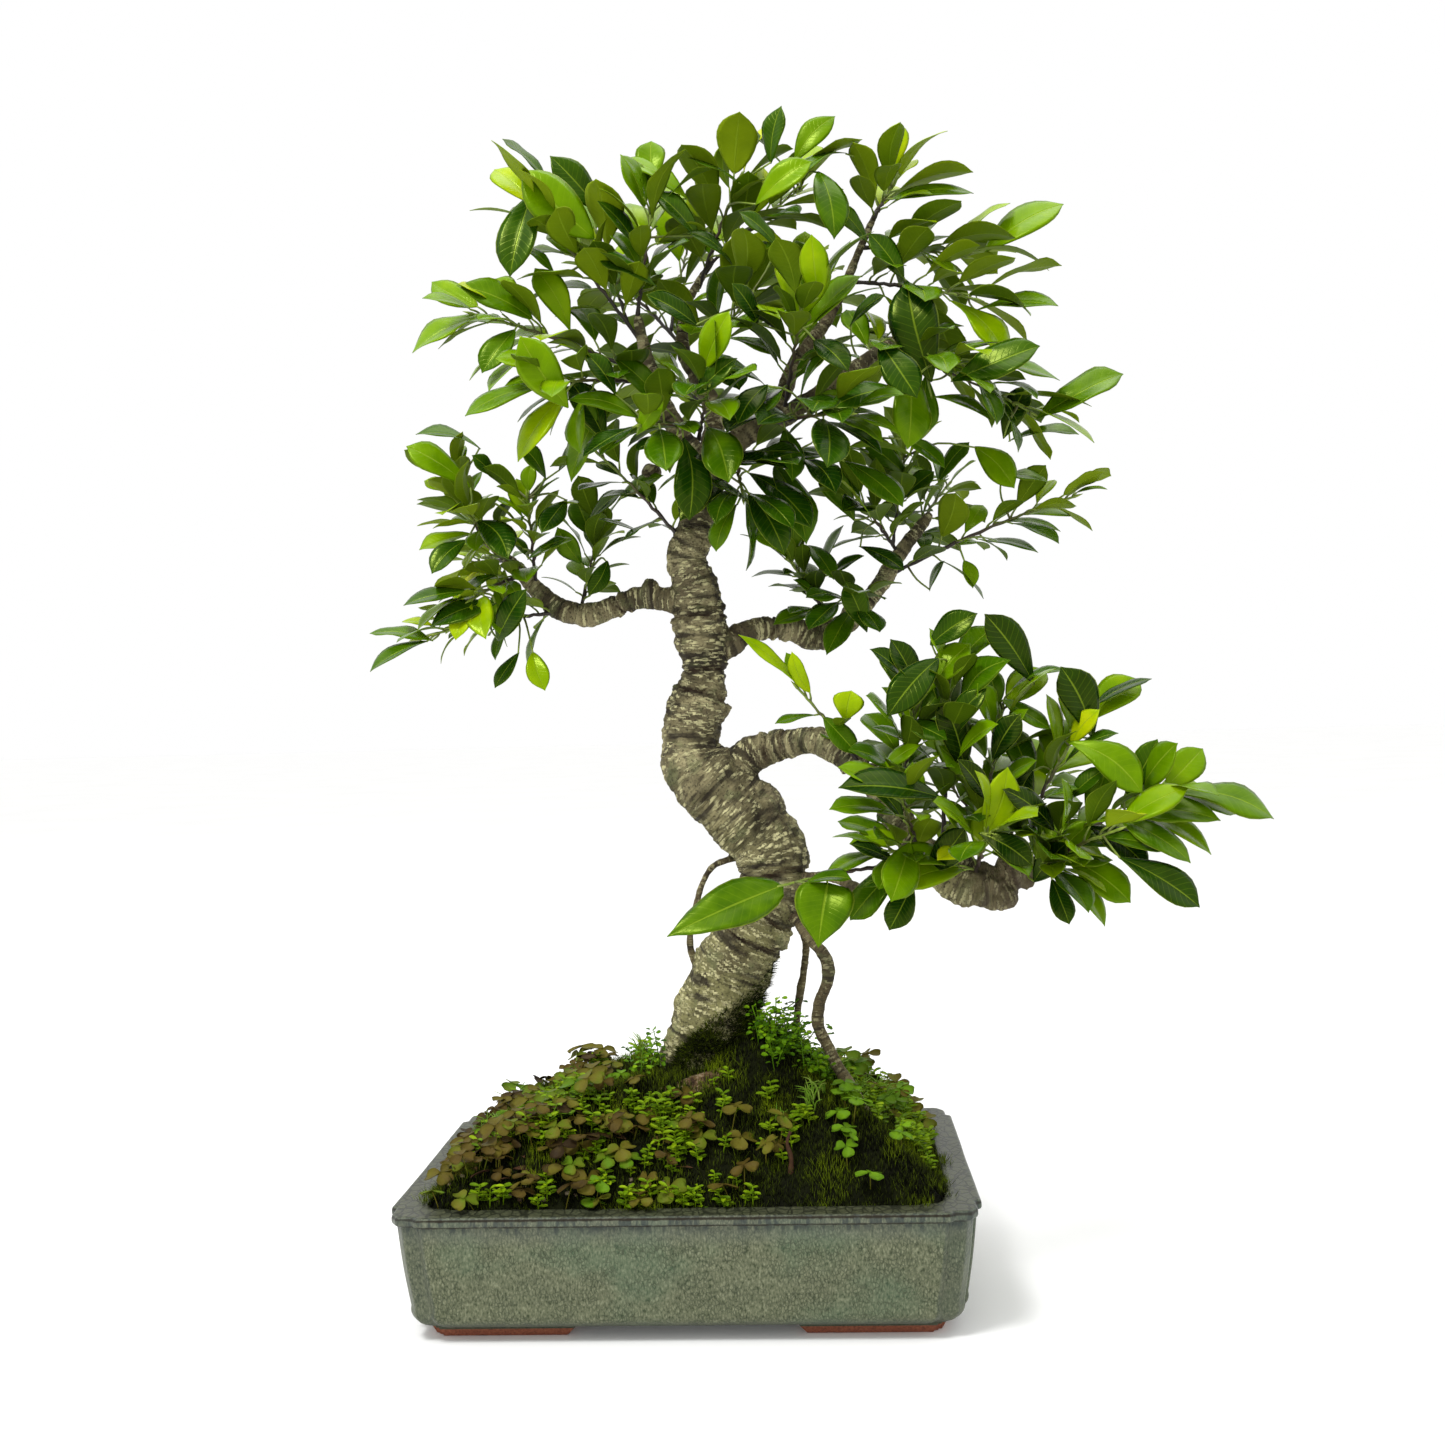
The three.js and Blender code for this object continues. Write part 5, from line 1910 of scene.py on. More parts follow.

# Leaves that are placed one by one: blade foot, blade tip, how far the face turns to the front
# from level (0 to 1), and tone from dark to young (0 to 1), in millimetres from the collar.
# Some go on with their width as a share of their length, and where they are widest.
# A low tone is partly painted shade, for leaves deep in the crown.
PLACED_LEAVES: tuple[tuple, ...] = (
    # crown
    ((158, 30, 663), (164, 28, 700), 0.9, 1.00),
    ((157, 30, 643), (220, 40, 648), 0.5, 0.60),
    ((228, 50, 606), (289, 50, 640), 0.6, 0.75),
    ((133, 40, 588), (200, 20, 611), 0.4, 0.60),
    ((215, 10, 552), (274, -10, 549), 0.5, 0.60),
    ((192, -40, 491), (253, -60, 510), 0.8, 0.35),
    ((254, -20, 465), (316, -30, 494), 0.6, 0.60),
    ((99, -75, 545), (95, -90, 586), 1.0, 0.85),
    ((18, -95, 494), (38, -110, 531), 1.0, 0.80),
    ((-75, -100, 471), (-104, -120, 517), 0.9, 0.75),
    ((-60, -50, 600), (-109, -60, 648), 0.9, 0.70),
    ((-103, -50, 635), (-118, -70, 570), 0.8, 0.30),
    ((-104, -60, 542), (-155, -75, 564), 0.7, 0.55),
    ((-136, -60, 546), (-189, -70, 519), 0.4, 0.75),
    ((-115, -70, 533), (-137, -85, 500), 0.8, 0.50),
    ((-93, -40, 645), (-124, -50, 674), 0.4, 0.35),
    ((-59, -20, 629), (-93, -30, 667), 0.8, 0.30),
    ((7, -30, 631), (-39, -40, 659), 0.6, 0.75),
    ((44, 0, 650), (6, -10, 668), 0.4, 0.35),
    ((67, 20, 680), (32, 10, 701), 0.5, 0.30),
    ((67, 0, 664), (76, -10, 703), 0.3, 0.35),
    ((85, 20, 672), (116, 20, 704), 0.9, 0.65),
    ((55, -20, 628), (97, -30, 655), 0.8, 0.75),
    ((124, 20, 676), (87, 0, 653), 0.4, 0.50),
    ((102, 0, 657), (112, -20, 601), 0.3, 0.50),
    ((137, 20, 610), (111, 10, 636), 0.7, 0.40),
    ((179, -30, 493), (164, -20, 569), 0.8, 0.20),
    ((157, -70, 481), (104, -90, 466), 0.7, 0.35),
    ((141, -60, 517), (165, -80, 473), 0.8, 0.25),
    ((13, -30, 604), (-18, -40, 635), 0.6, 0.35),
    ((38, -20, 584), (6, -40, 605), 0.6, 0.30),
    ((-16, -50, 564), (-57, -60, 584), 0.6, 0.35),
    ((71, -30, 594), (44, -40, 618), 0.7, 0.30),
    ((-30, -40, 596), (-57, -50, 627), 0.6, 0.30),
    ((-88, -50, 574), (-110, -60, 594), 0.5, 0.50),
    ((13, -60, 533), (-22, -70, 554), 0.6, 0.20),
    ((56, -60, 532), (39, -80, 557), 0.8, 0.20),
    ((121, -40, 533), (146, -50, 552), 0.6, 0.30),
    ((163, 0, 575), (138, 0, 610), 0.6, 0.30),
    ((-44, -80, 482), (-63, -90, 510), 0.6, 0.25),
    ((95, -70, 518), (118, -90, 491), 0.7, 0.20),
    ((62, -80, 486), (41, -95, 457), 0.7, 0.20),
    ((-30, -85, 453), (-9, -100, 476), 0.9, 0.70),
    ((13, -90, 479), (42, -100, 501), 0.8, 0.25),
    ((178, -30, 482), (220, -40, 462), 0.4, 0.60),
    ((159, -20, 455), (187, -30, 431), 0.5, 0.50),
    ((233, 0, 455), (251, -10, 492), 0.8, 0.15),
    ((239, 20, 456), (290, 10, 458), 0.4, 0.60),
    ((23, -60, 433), (75, -70, 428), 0.4, 0.20),
    ((47, -55, 406), (15, -65, 423), 0.4, 0.30),
    ((-3, -60, 455), (-31, -80, 443), 0.5, 0.30),
    ((76, -60, 476), (126, -80, 465), 0.4, 0.30),
    ((108, -30, 441), (75, -40, 439), 0.4, 0.30),
    # left
    ((-158, -25, 428), (-202, -40, 458), 0.7, 0.70),
    ((-157, 10, 462), (-204, 0, 473), 0.4, 0.50),
    ((-163, -20, 391), (-186, -40, 365), 0.9, 0.35),
    ((-155, -35, 351), (-205, -50, 342), 0.4, 0.40),
    ((-141, -30, 343), (-186, -50, 326), 0.5, 0.30),
    ((-117, -20, 307), (-107, -30, 278), 0.8, 0.85),
    ((-127, -20, 307), (-144, -30, 281), 0.5, 0.30),
    ((-195, 0, 318), (-243, 0, 325), 0.4, 0.55),
    ((-199, 0, 318), (-241, -10, 296), 0.4, 0.50),
    ((-143, -20, 316), (-117, -40, 352), 0.8, 0.20),
    ((-103, -25, 433), (-120, -40, 457), 0.7, 0.40),
    ((-155, -20, 405), (-128, -50, 373), 0.7, 0.25),
    ((-87, -30, 417), (-102, -60, 390), 0.6, 0.25),
    ((-61, -60, 457), (-66, -70, 481), 0.8, 0.45),
    ((-54, -60, 453), (-77, -70, 495), 0.6, 0.20),
    ((-53, 0, 419), (-18, -10, 435), 0.6, 0.60),
    ((-78, 20, 406), (-50, 10, 427), 0.6, 0.30),
    ((-97, 0, 442), (-77, -10, 463), 0.6, 0.30),
    ((-141, -10, 435), (-158, -20, 453), 0.6, 0.35),
    ((-62, 0, 374), (-76, -10, 348), 0.7, 0.25),
    ((-39, 0, 396), (-66, -20, 403), 0.4, 0.40),
    ((-174, -10, 347), (-142, -20, 364), 0.5, 0.30),
    ((-119, -20, 375), (-88, -30, 388), 0.5, 0.35),
    # right
    ((129, -10, 315), (114, -20, 352), 0.8, 0.30),
    ((77, 20, 383), (53, 10, 419), 0.8, 0.35),
    ((73, 20, 372), (45, 10, 394), 0.6, 0.60),
    ((123, 20, 400), (99, 10, 442), 0.9, 0.40),
    ((167, 40, 433), (131, 30, 462), 0.9, 0.35),
    ((205, 30, 369), (210, 20, 347), 0.7, 0.70),
    ((223, 50, 385), (262, 40, 374), 0.3, 0.50),
    ((216, 40, 456), (244, 30, 422), 0.9, 0.70),
    ((234, 40, 431), (269, 30, 426), 0.4, 0.60),
    ((292, 48, 419), (316, 45, 421), 0.3, 0.60),
    ((234, 48, 399), (280, 45, 390), 0.3, 0.60),
    ((179, 40, 347), (190, 30, 369), 0.4, 0.40),
    ((95, 10, 341), (76, 0, 356), 0.5, 0.50),
    ((103, 20, 360), (129, 10, 373), 0.5, 0.30),
    ((158, 40, 416), (185, 40, 438), 0.6, 0.35),
    ((126, 30, 382), (159, 20, 362), 0.5, 0.25),
    ((189, 50, 432), (213, 50, 461), 0.6, 0.40),
    ((88, 20, 383), (106, 0, 355), 0.5, 0.40),
    # low
    ((82, -70, 274), (37, -80, 313), 0.5, 0.78, 0.24, 0.8),
    ((86, -70, 271), (74, -84, 300), 0.8, 0.85, 0.36, 0.8),
    ((110, -62, 249), (115, -66, 272), 0.95, 0.85, 0.95, 1.3),
    ((95, -60, 254), (118, -64, 227), 0.9, 0.35, 0.5, 0.8),
    ((172, -50, 303), (205, -60, 324), 0.8, 0.40),
    ((246, -40, 273), (211, -50, 324), 0.8, 0.25),
    ((177, -60, 293), (139, -80, 253), 0.8, 0.35),
    ((285, -50, 233), (262, -60, 285), 0.7, 0.25),
    ((286, -50, 257), (327, -50, 275), 0.3, 0.40),
    ((262, -80, 233), (309, -100, 197), 0.7, 0.80),
    ((302, -75, 195), (324, -80, 233), 0.8, 0.50),
    ((330, -75, 196), (399, -90, 177), 0.4, 0.75),
    ((300, -80, 183), (362, -95, 177), 0.5, 0.75),
    ((293, -90, 180), (338, -110, 150), 0.3, 0.70),
    ((276, -80, 174), (312, -100, 145), 0.5, 0.25),
    ((290, -110, 155), (340, -125, 122), 0.6, 0.35),
    ((250, -75, 138), (260, -85, 107), 0.5, 0.30),
    ((172, -110, 198), (103, -130, 207), 0.5, 0.30),
    ((196, -120, 174), (229, -135, 153), 0.8, 0.20),
    ((163, -80, 146), (189, -100, 176), 0.8, 0.20),
    ((238, -70, 135), (259, -90, 164), 0.8, 0.25),
    ((193, -60, 210), (177, -70, 265), 0.7, 0.15),
    ((143, -80, 152), (111, -90, 166), 0.5, 0.30),
    ((154, -80, 138), (136, -90, 106), 0.6, 0.30),
    ((149, -80, 147), (118, -90, 136), 0.4, 0.40),
    ((154, -50, 279), (129, -60, 301), 0.6, 0.35),
    ((149, -60, 251), (180, -80, 236), 0.5, 0.50),
    ((212, -70, 221), (231, -80, 253), 0.7, 0.25),
    ((222, -50, 263), (254, -60, 241), 0.4, 0.70),
    ((241, -60, 213), (224, -80, 179), 0.7, 0.20),
    ((206, -90, 194), (185, -100, 223), 0.7, 0.15),
    ((185, -60, 236), (209, -70, 271), 0.6, 0.40),
    ((230, -40, 270), (269, -50, 282), 0.3, 0.60),
    ((164, -50, 265), (144, -50, 308), 0.6, 0.30),
    ((264, -70, 192), (288, -80, 213), 0.5, 0.50),
    ((134, -60, 215), (162, -70, 233), 0.5, 0.60),
    ((251, -90, 172), (215, -100, 202), 0.6, 0.20),
    # front
    ((64, -95, 139), (-14, -130, 110), 0.75, 0.54, 0.38, 0.5),
    ((95, -92, 140), (87, -105, 97), 1.0, 0.54, 0.9, 0.36),
    ((79, -93, 140), (111, -100, 143), 0.4, 0.50),
)


@dataclass
class LeafShape:
    """One leaf blade: a closed, folded, arching oval with a drawn-out tip."""

    rows: int = 13
    columns: int = 9
    thickness: float = 0.4
    fold: float = 0.30
    widths: tuple[tuple[float, float], ...] = (
        (0.0, 0.035), (0.05, 0.13), (0.13, 0.30), (0.24, 0.53), (0.36, 0.75), (0.48, 0.91), (0.58, 0.99),
        (0.68, 1.0), (0.78, 0.91), (0.87, 0.66), (0.93, 0.36), (0.968, 0.14), (1.0, 0.01),
    )

    def add(self, pile: MeshPile, leaf: Leaf, rng: Random) -> None:
        """Adds a leaf to a pile.

        Args:
            pile: The pile that takes it.
            leaf: Where it stands. Its belly is below 1 where it is widest near its foot, and 0
                leaves that to chance.
            rng: The random source.
        """
        length = float(np.linalg.norm(leaf.tip - leaf.foot))
        along = unit(leaf.tip - leaf.foot)
        up = unit(leaf.face - along * float(leaf.face @ along))
        side = np.cross(along, up)
        arch = rng.uniform(0.03, 0.10)
        curl = rng.uniform(0.02, 0.10)
        fold = self.fold * rng.uniform(0.45, 1.25)
        wave = rng.uniform(0.0, 0.035) * length
        phase = rng.uniform(0, 6.28)
        bend = rng.normal(0, 0.035) * length
        belly = leaf.belly or rng.uniform(0.72, 1.12)
        v = np.linspace(-1, 1, self.columns)
        stations, shares = (np.array(column) for column in zip(*self.widths))
        s = np.interp(np.linspace(0, 1, self.rows), np.linspace(0, 1, len(stations)), stations)
        shape = np.interp(s**belly, stations, shares)
        top = np.empty((self.rows, self.columns, 3))
        for r, t in enumerate(s):
            rise = arch * 4 * t * (1 - t) - curl * t**3 + curl * t
            spine = leaf.foot + along * length * t + up * length * rise + side * bend * math.sin(math.pi * t)
            half = shape[r] * leaf.width / 2
            lift = fold * np.abs(v) ** 1.2 * half - 0.16 * half * np.abs(v) ** 3
            ripple = wave * np.sin(9.0 * t + phase + np.sign(v) * 1.3) * np.abs(v) ** 2 * shape[r]
            top[r] = spine + np.outer(v * half, side) + np.outer(lift + ripple, up)
        inner = slice(1, self.columns - 1)
        under = top[:, inner] - up * self.thickness
        faces, paint = self.faces()
        across = np.concatenate([np.tile(v, self.rows), np.tile(v[inner], self.rows)])
        along_mark = np.concatenate([np.repeat(s, self.columns), np.repeat(s, self.columns - 2)])
        points = np.concatenate([top.reshape(-1, 3), under.reshape(-1, 3)])
        pile.add(points, faces, paint, across=across, along=along_mark, tone=leaf.tone, youth=0.9)

    def faces(self) -> tuple[list[Face], list[int]]:
        """Lists a leaf's faces.

        Returns:
            The faces, and 0 for the upper side or 1 for the underside of each.
        """
        around = self.columns

        def low(r: int, c: int) -> int:
            """Gives the underside's point, which is the upper one on the margins."""
            if c in (0, around - 1):
                return r * around + c
            return self.rows * around + r * (around - 2) + c - 1

        faces: list[Face] = []
        for r in range(self.rows - 1):
            for c in range(around - 1):
                a = r * around + c
                faces.append((a, a + 1, a + around + 1, a + around))
                faces.append((low(r, c), low(r + 1, c), low(r + 1, c + 1), low(r, c + 1)))
        paint = [0, 1] * (len(faces) // 2) + [1, 1]
        for r, order in ((0, -1), (self.rows - 1, 1)):
            loop = [r * around + c for c in range(around)]
            back = [low(r, c) for c in range(around - 2, 0, -1)]
            faces.append(tuple((loop + back)[::order]))
        return faces, paint


@dataclass
class Foliage:
    """Every shoot's twigs, leaf stalks and leaves."""

    low: Row
    high: Row
    shape: LeafShape = field(default_factory=LeafShape)
    twig_radius: float = 1.7
    twig_tip_radius: float = 0.85
    twig_steps: int = 25
    twig_sides: int = 8
    stalk_radius: float = 0.75
    stalk_steps: int = 7
    stalk_sides: int = 6
    leaf_length: float = 55.0
    placed_stalk: float = 6.0
    placed_tone: float = 0.9
    clearance: float = 8.0
    density: float = 2.8
    tries: int = 14
    sizes: tuple[tuple[str, float, float, float], ...] = (
        ("crown", 0.94, 1.3, 0.0),
        ("left", 0.66, 1.4, 0.0),
        ("right", 0.72, 1.3, 0.0),
        ("low_shoot_01", 0.5, 0.5, 0.1),
        ("low", 0.86, 1.15, -0.12),
        ("front", 0.6, 0.0, 0.0),
    )
    fork_share: float = 0.2
    bow: float = 0.05
    heart: Point = (60.0, 0.0, 400.0)
    crown_reach: float = 260.0
    bare_place: Point = (205.0, -80.0, 128.0)
    bare_reach: float = 42.0
    seed: int = 23

    def twig_lines(self, stems: Sequence[Stem]) -> list[Row]:
        """Samples the twigs of one shoot.

        Args:
            stems: The shoot's stems; a later one forks from the first.

        Returns:
            One line per stem.
        """
        lines: list[Row] = []
        t = np.linspace(0, 1, self.twig_steps)[:, None]
        steps = np.arange(self.twig_steps)
        waves = np.column_stack([np.sin(steps * 1.7), np.cos(steps * 2.3), np.sin(steps * 2.9)])
        wiggle = waves * (0.9, 0.9, 0.6)
        for stem in stems:
            fork = stem.start is None
            start = lines[0][int(self.fork_share * (self.twig_steps - 1))] if fork else np.array(stem.start)
            end = np.array(stem.end, dtype=float)
            middle = (start + end) / 2 + np.array([0, 0, self.bow * float(np.linalg.norm(end - start))])
            line = (1 - t) ** 2 * start + 2 * t * (1 - t) * middle + t**2 * end
            lines.append(line + wiggle * np.minimum(t, 1 - t) * 2)
        return lines

    def add_green(self, pile: MeshPile, line: Row, radii: Row, youth: Row, end: float) -> None:
        """Adds a twig or a stalk.

        Args:
            pile: The pile that takes it.
            line: Its centre line.
            radii: Its radius at each point.
            youth: How green it is at each point.
            end: How green its first end is.
        """
        sides = self.twig_sides if len(line) > self.stalk_steps else self.stalk_sides
        marks = np.concatenate([np.repeat(youth, sides), [end, youth[-1]]])
        pile.tube(line, radii, sides, 2, across=0.5, along=0.5, tone=0.5, youth=marks)

    def add_twigs(self, pile: MeshPile, lines: list[Row]) -> None:
        """Adds the twigs, each with a pointed bud at its tip.

        Args:
            pile: The pile that takes them.
            lines: The sampled twigs.
        """
        for number, line in enumerate(lines):
            share = np.linspace(0, 1, len(line))
            radii = self.twig_radius * (1 - share) + self.twig_tip_radius * share
            radii = radii * (1.0 if number == 0 else 0.8) * (1 + 0.14 * np.sin(share * 40.0))
            bud = line[-1] + unit(line[-1] - line[-2]) * np.array([[1.6], [4.2], [8.5]])
            youth = np.concatenate([np.clip(share * 1.5 - 0.45, 0, 0.85), [0.8, 0.95, 1.0]])
            radii = np.concatenate([radii, [1.25, 1.0, 0.12]])
            self.add_green(pile, np.concatenate([line, bud]), radii, youth, 0.0)

    def add_stalk(self, pile: MeshPile, leaf: Leaf) -> None:
        """Adds a leaf stalk.

        Args:
            pile: The pile that takes it.
            leaf: The leaf that it carries.
        """
        start, foot = leaf.stalk_start, leaf.foot
        along = unit(leaf.tip - foot)
        length = float(np.linalg.norm(foot - start))
        middle = (start + foot) / 2 + np.array([0, 0, 0.08 * length]) - along * min(length * 0.12, 3.0)
        line = smooth_curve([start, middle, foot + along * 1.2], self.stalk_steps)
        radii = np.linspace(self.stalk_radius * 1.25, self.stalk_radius * 0.9, self.stalk_steps)
        self.add_green(pile, line, radii, np.linspace(0.55, 0.95, self.stalk_steps), 0.55)

    def group(self, name: str) -> tuple[float, float, float]:
        """Gives the size, the number and the lighter tone of a shoot's leaves."""
        return next(tuple(values) for group, *values in self.sizes if name.startswith(group))

    def spiral(
        self, name: str, lines: list[Row], stems: Sequence[Stem], taken: list[Row], rng: Random
    ) -> list[Leaf]:
        """Lays out the leaves that fill a shoot in a spiral, clear of the ones already there.

        Args:
            name: The shoot's name.
            lines: The sampled twigs.
            stems: The shoot's stems.
            taken: Middles of the leaves placed so far; new ones are added.
            rng: The random source.

        Returns:
            The leaves.
        """
        found = []
        scale, fullness, shade = self.group(name)
        room = self.clearance * (0.6 + 0.4 * scale)
        for line, stem in zip(lines, stems):
            direction = unit(line[-1] - line[-6])
            side = unit(np.cross(direction, (0.0, 0.0, 1.0)))
            over = np.cross(side, direction)
            count = int(round(stem.leaves * self.density * fullness))
            for number in range(count):
                share = 0.14 + 0.86 * (number + 0.5) / count
                at = line[int(share * (len(line) - 1))]
                for attempt in range(self.tries):
                    angle = number * GOLDEN_ANGLE + attempt * 0.9 + rng.uniform(-0.3, 0.3)
                    spread = 0.45 + 0.75 * (1 - share) + rng.uniform(-0.15, 0.25)
                    outward = side * math.cos(angle) + over * (math.sin(angle) * 0.7 + 0.1)
                    along = unit(direction * math.cos(spread) + unit(outward) * math.sin(spread))
                    size = self.leaf_length * scale * rng.uniform(0.72, 1.2) * (0.9 ** (attempt // 5))
                    stalk = size * rng.uniform(0.16, 0.26)
                    foot = at + along * stalk + np.array([0, 0, stalk * 0.15])
                    tip = foot + along * size + np.array([0.0, 0.0, -0.16 * size * rng.uniform(0.2, 1.6)])
                    middle = (foot + tip) / 2
                    if np.any(tip < self.low) or np.any(tip > self.high):
                        continue
                    if float(np.linalg.norm(middle - self.bare_place)) < self.bare_reach:
                        continue
                    if taken and min(float(np.linalg.norm(middle - other)) for other in taken) < room:
                        continue
                    taken.append(middle)
                    outward = (middle - self.heart) / self.crown_reach
                    turned = 0.4 * outward[0] + rng.normal(0, 0.2)
                    face = unit(np.array([turned, 1.2 * outward[1] + rng.normal(-0.2, 0.3), 1.0]))
                    # Leaves near the crown's heart get a darker tone: partly older leaves, partly painted
                    # shade inside the crown.
                    rank = float(np.clip(np.linalg.norm(outward), 0, 1))
                    tone = rng.normal(0.12, 0.14) + 0.55 * rank + 0.12 * share + shade
                    width = size * rng.uniform(0.43, 0.54)
                    found.append(Leaf(foot, tip, face, width, float(np.clip(tone, 0.03, 0.95)), at))
                    break
        return found

    def placed(
        self, lines: dict[str, list[Row]], taken: list[Row], rng: Random
    ) -> dict[str, list[Leaf]]:
        """Hangs each leaf that is placed by itself on the nearest twig.

        Args:
            lines: The sampled twigs of each shoot.
            taken: Gets the middles of the leaves.
            rng: The random source.

        Returns:
            The leaves of each shoot.
        """
        owners = [name for name, twigs in lines.items() for twig in twigs for _ in twig]
        cloud = np.concatenate([twig for twigs in lines.values() for twig in twigs])
        leaves: dict[str, list[Leaf]] = {name: [] for name in lines}
        for foot, tip, facing, tone, *form in PLACED_LEAVES:
            base, end = np.array(foot, dtype=float), np.array(tip, dtype=float)
            stalk_start = base - unit(end - base) * self.placed_stalk
            nearest = int(np.argmin(np.linalg.norm(cloud - stalk_start, axis=1)))
            face = unit(np.array([rng.normal(0, 0.12), -facing, 1.05 - 0.75 * facing]))
            taken.append((base + end) / 2)
            ratio, belly = form if form else (rng.uniform(0.43, 0.54), 0.0)
            owner = owners[nearest]
            tone = max(self.placed_tone * tone + self.group(owner)[2], 0.03)
            width = float(np.linalg.norm(end - base)) * ratio
            leaves[owner].append(Leaf(base, end, face, width, tone, cloud[nearest], belly))
        return leaves

    def build(self, anchor: Anchor, materials: Sequence[Material]) -> Iterable[tuple[str, Piece]]:
        """Makes every shoot.

        Args:
            anchor: Where the plant stands.
            materials: The materials of upper faces, undersides and stalks.

        Yields:
            Each shoot's frame node name with its piece.
        """
        rng = np.random.default_rng(self.seed)
        lines = {name: self.twig_lines(stems) for name, stems in SHOOTS.items()}
        taken: list[Row] = []
        leaves = self.placed(lines, taken, rng)
        for name, stems in SHOOTS.items():
            leaves[name].extend(self.spiral(name, lines[name], stems, taken, rng))
        log.info("foliage: %d shoots, %d leaves", len(SHOOTS), len(taken))
        for name in SHOOTS:
            pile = MeshPile()
            self.add_twigs(pile, lines[name])
            for leaf in leaves[name]:
                self.add_stalk(pile, leaf)
                self.shape.add(pile, leaf, rng)
            yield name, pile.build(f"{name}_foliage", materials, anchor.from_collar)


# ---- Studio ---------------------------------------------------------------------------------


@dataclass(frozen=True)
class Studio:
    """A plain pale floor, soft lights and the camera."""

    camera_place: Point = (91.2, -1269.8, 422.0)
    turn: float = 2.825
    dip: float = 0.482
    roll: float = 1.483
    lens: float = 42.58
    floor_size: float = 20000.0
    floor_drop: float = 0.2

    def build(self, anchor: Anchor) -> None:
        """Sets up the studio.

        Args:
            anchor: Where the plant stands.
        """
        scene = bpy.context.scene
        w = Wiring("pale_floor")
        pale = w.ramp(w.grain(w.place(), 3.0, 2.0), (0.3, (247, 247, 246)), (0.7, (250, 250, 249)))
        floor = MeshPile()
        corners = ((-1, -1), (1, -1), (1, 1), (-1, 1))
        corner_points = [(x * self.floor_size, y * self.floor_size, -self.floor_drop) for x, y in corners]
        floor.add(np.array(corner_points), [(0, 1, 2, 3)])
        finish = w.finish(pale, 0.85, Emission_Strength=0.05)
        floor.build("floor", [finish], lambda points: points * MM)
        world = bpy.data.worlds.new("studio")
        world.use_nodes = True
        background = world.node_tree.nodes["Background"]
        background.inputs["Color"].default_value = (1.0, 1.0, 1.0, 1.0)
        background.inputs["Strength"].default_value = 1.0
        scene.world = world
        scene.view_settings.view_transform = "Standard"
        self.light("key", (-0.7, -1.0, 2.0), 0.55, 28.0, anchor)
        self.light("top", (0.2, 0.1, 2.3), 1.4, 12.0, anchor)
        camera = bpy.data.objects.new("camera", bpy.data.cameras.new("camera"))
        camera.data.lens = self.lens
        camera.data.sensor_width = 36.0
        camera.data.clip_end = 60.0
        turn, dip, roll = (math.radians(angle) for angle in (self.turn, self.dip, self.roll))
        forward = np.array([-math.sin(turn) * math.cos(dip), math.cos(turn) * math.cos(dip), -math.sin(dip)])
        level = np.array([math.cos(turn), math.sin(turn), 0.0])
        upright = np.cross(level, forward)
        right = level * math.cos(roll) - upright * math.sin(roll)
        up = upright * math.cos(roll) + level * math.sin(roll)
        columns = np.column_stack([right, up, -forward, anchor.from_pot_middle(np.array(self.camera_place))])
        camera.matrix_world = Matrix([*columns.tolist(), [0, 0, 0, 1]])
        scene.collection.objects.link(camera)
        scene.camera = camera

    def light(self, name: str, place: Point, size: float, power: float, anchor: Anchor) -> None:
        """Adds a soft light that faces the plant.

        Args:
            name: The light's name.
            place: Where it stands, in metres from the pot.
            size: Its width.
            power: Its power in watts.
            anchor: Where the plant stands.
        """
        data = bpy.data.lights.new(name, "AREA")
        data.size = size
        data.energy = power
        lamp = bpy.data.objects.new(name, data)
        target = Vector(anchor.pot_middle) + Vector((0, 0, 0.4))
        lamp.location = Vector(anchor.pot_middle) + Vector(place)
        lamp.rotation_euler = (target - lamp.location).to_track_quat("-Z", "Y").to_euler()
        bpy.context.scene.collection.objects.link(lamp)


# ---- Putting it together --------------------------------------------------------------------


COVERS: dict[str, GroundCover] = {
    cover.name: cover
    for cover in (
        GroundCover(
            "potting_soil", 160, 900, 0.9, 0.0012,
            ((34, 26, 20), (66, 50, 36), (104, 82, 58), (150, 134, 108)), False,
        ),
        GroundCover(
            "screen_plastic", 300, 1500, 0.55, 0.0002,
            ((24, 26, 25), (36, 39, 38)), False,
        ),
        # The darkest moss colours carry the painted shade between the blades.
        GroundCover(
            "moss", 60, 700, 0.85, 0.001,
            ((7, 8, 2), (22, 26, 3), (54, 66, 2), (98, 116, 4), (150, 168, 18)),
        ),
        GroundCover(
            "clover", 90, 500, 0.6, 0.0003,
            ((46, 34, 16), (82, 68, 24), (98, 94, 26), (78, 114, 12), (116, 156, 20)),
        ),
        GroundCover(
            "seedling", 120, 600, 0.55, 0.0003,
            ((26, 46, 2), (58, 86, 2), (98, 130, 4), (142, 168, 14)),
        ),
        GroundCover(
            "leafy_weed", 120, 600, 0.5, 0.0003,
            ((24, 48, 2), (54, 92, 2), (96, 138, 6), (136, 172, 18)),
        ),
        GroundCover(
            "grass_tuft", 100, 500, 0.5, 0.0003,
            ((26, 56, 8), (60, 98, 16), (104, 142, 34), (150, 168, 78)),
        ),
        GroundCover(
            "gravel", 300, 1500, 0.8, 0.0004,
            ((40, 30, 20), (74, 60, 44), (110, 98, 76), (150, 138, 112)),
        ),
        GroundCover(
            "dead_leaf", 200, 900, 0.75, 0.0004,
            ((46, 30, 20), (86, 60, 40), (124, 96, 64)),
        ),
    )
}


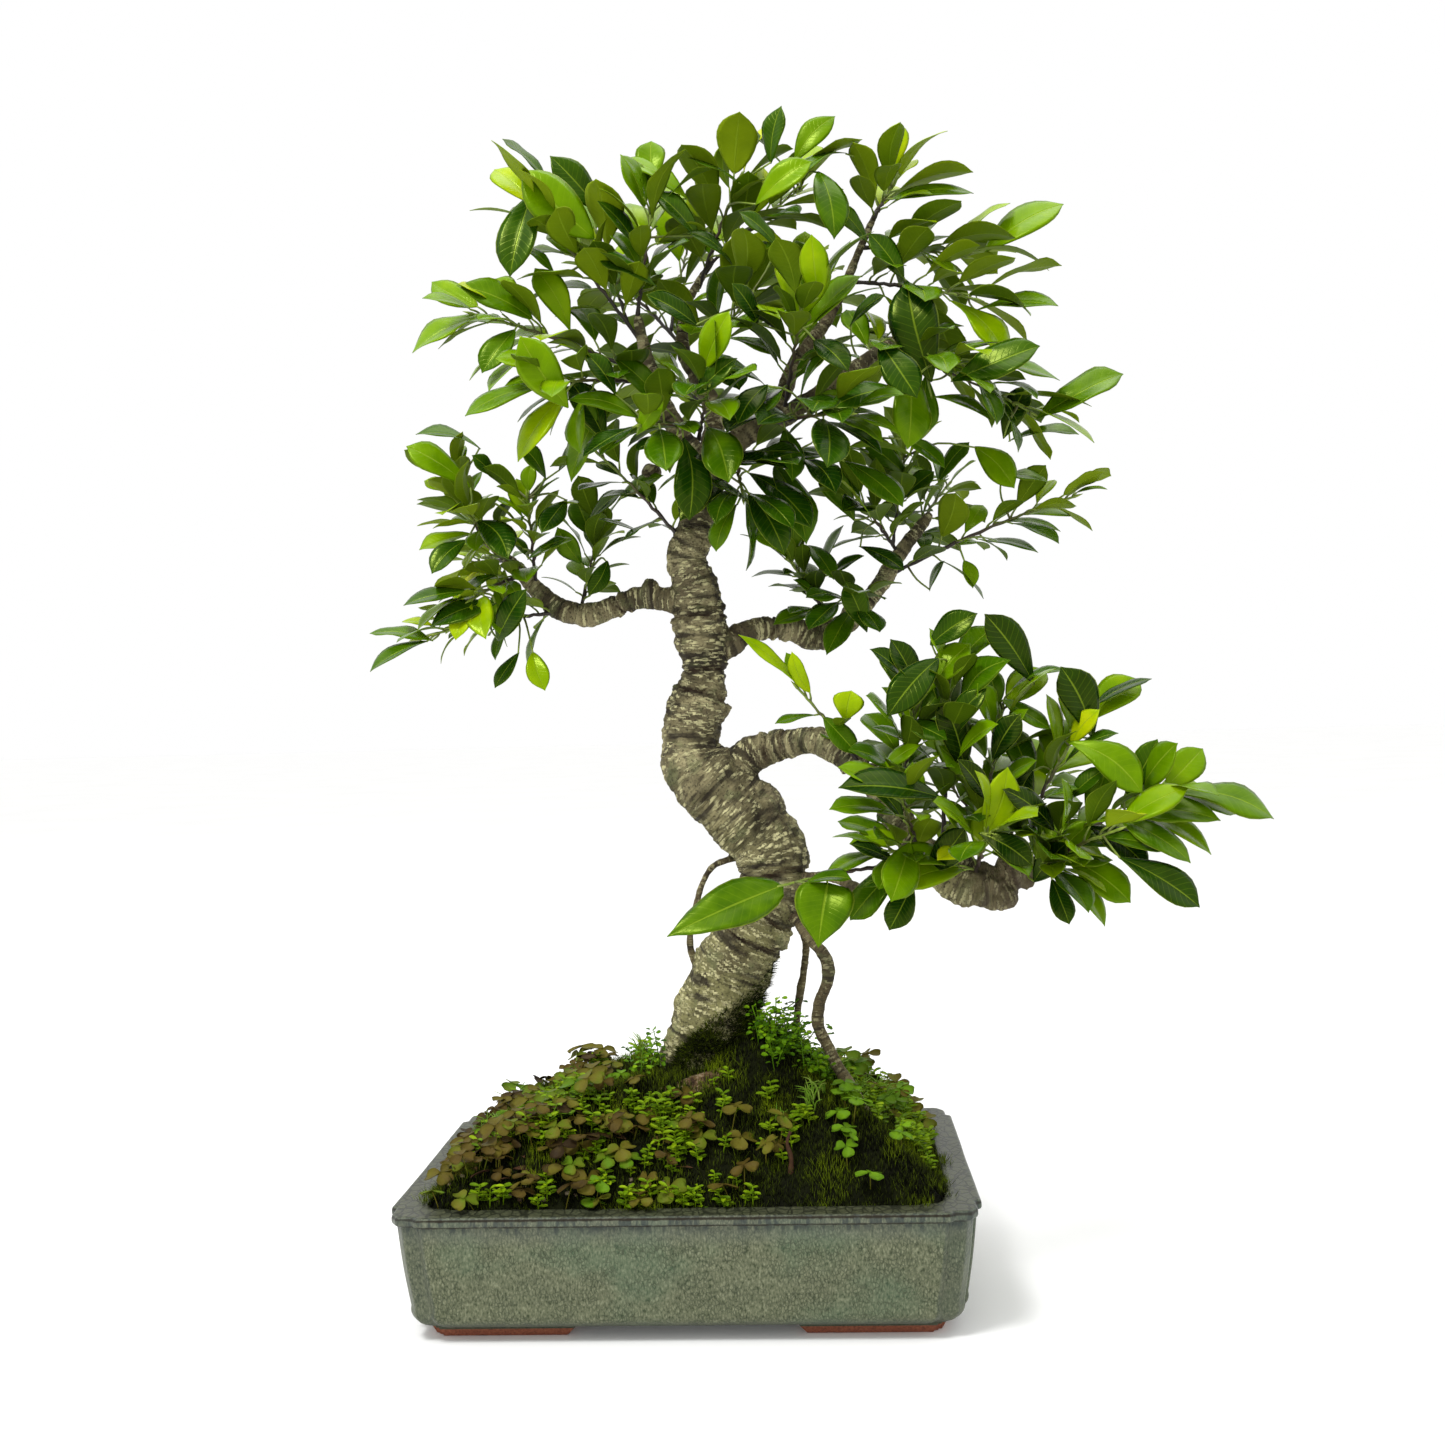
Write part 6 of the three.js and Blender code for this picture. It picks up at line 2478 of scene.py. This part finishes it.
def add(piece: Piece, slot: str, *nodes: str) -> None:
    """Fixes a piece to the plant's body.

    Args:
        piece: The piece.
        slot: The record's material slot.
        *nodes: Frame nodes that the piece stands for.
    """
    if nodes:
        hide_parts(*nodes)
    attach(piece, "root")
    stands_for = ", ".join(nodes) or "itself"
    log.info("%s: %d faces, slot %s, for %s", piece.name, len(piece.data.polygons), slot, stands_for)


def repaint(node: str, material: Material, slot: str) -> None:
    """Gives a frame node a detailed material.

    Args:
        node: The node's name.
        material: The material.
        slot: The record's material slot.
    """
    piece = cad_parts[node]
    piece.data.materials.clear()
    piece.data.materials.append(material)
    log.info("%s: kept, slot %s", node, slot)


def main() -> None:
    """Builds the plant and its studio."""
    anchor = Anchor.from_pot(*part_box("pot"))
    covers = {name: cover.material() for name, cover in COVERS.items()}
    pot = GlazedPot()
    top = anchor.pot_top
    glaze = CeladonGlaze(rim_top=top, lip_bottom=top - pot.lip_height * MM, foot_top=pot.foot_height * MM)
    add(pot.build(anchor, glaze.material(), FiredClay().material()), "glaze", "pot")
    repaint("soil", covers["potting_soil"], "soil")
    for side in ("left", "right"):
        repaint(f"drain_screen_{side}", covers["screen_plastic"], "screen_plastic")

    cushion = MossCushion(pot, Mound())
    sheet, *blades = cushion.build(anchor, covers["moss"])
    add(sheet, "moss", "moss")
    for piece in blades + WeedPatches(cushion).build(anchor, {weed: covers[weed.value] for weed in Weed}):
        add(piece, "moss")
    for piece in Litter(cushion).build(anchor, covers["gravel"], covers["dead_leaf"]):
        add(piece, "soil")

    old_bark, oldest_bark = 0.22, 0.38
    bark = FicusBark(low_z=top + old_bark, high_z=top + oldest_bark).material()
    add(Wood(LIMBS).build(anchor, bark), "bark", *(limb.name for limb in LIMBS))

    room = 6.0
    collar = anchor.from_collar(np.zeros(3))
    low, high = ((np.array(corner) - collar) / MM for corner in CAD_BOX)
    leaf_materials = [*(WaxyLeaf(blade).material() for blade in Blade), GreenStalk().material()]
    for node, piece in Foliage(low - room, high + room).build(anchor, leaf_materials):
        add(piece, "leaf", node)

    Studio().build(anchor)


if __name__ == "__main__":
    main()
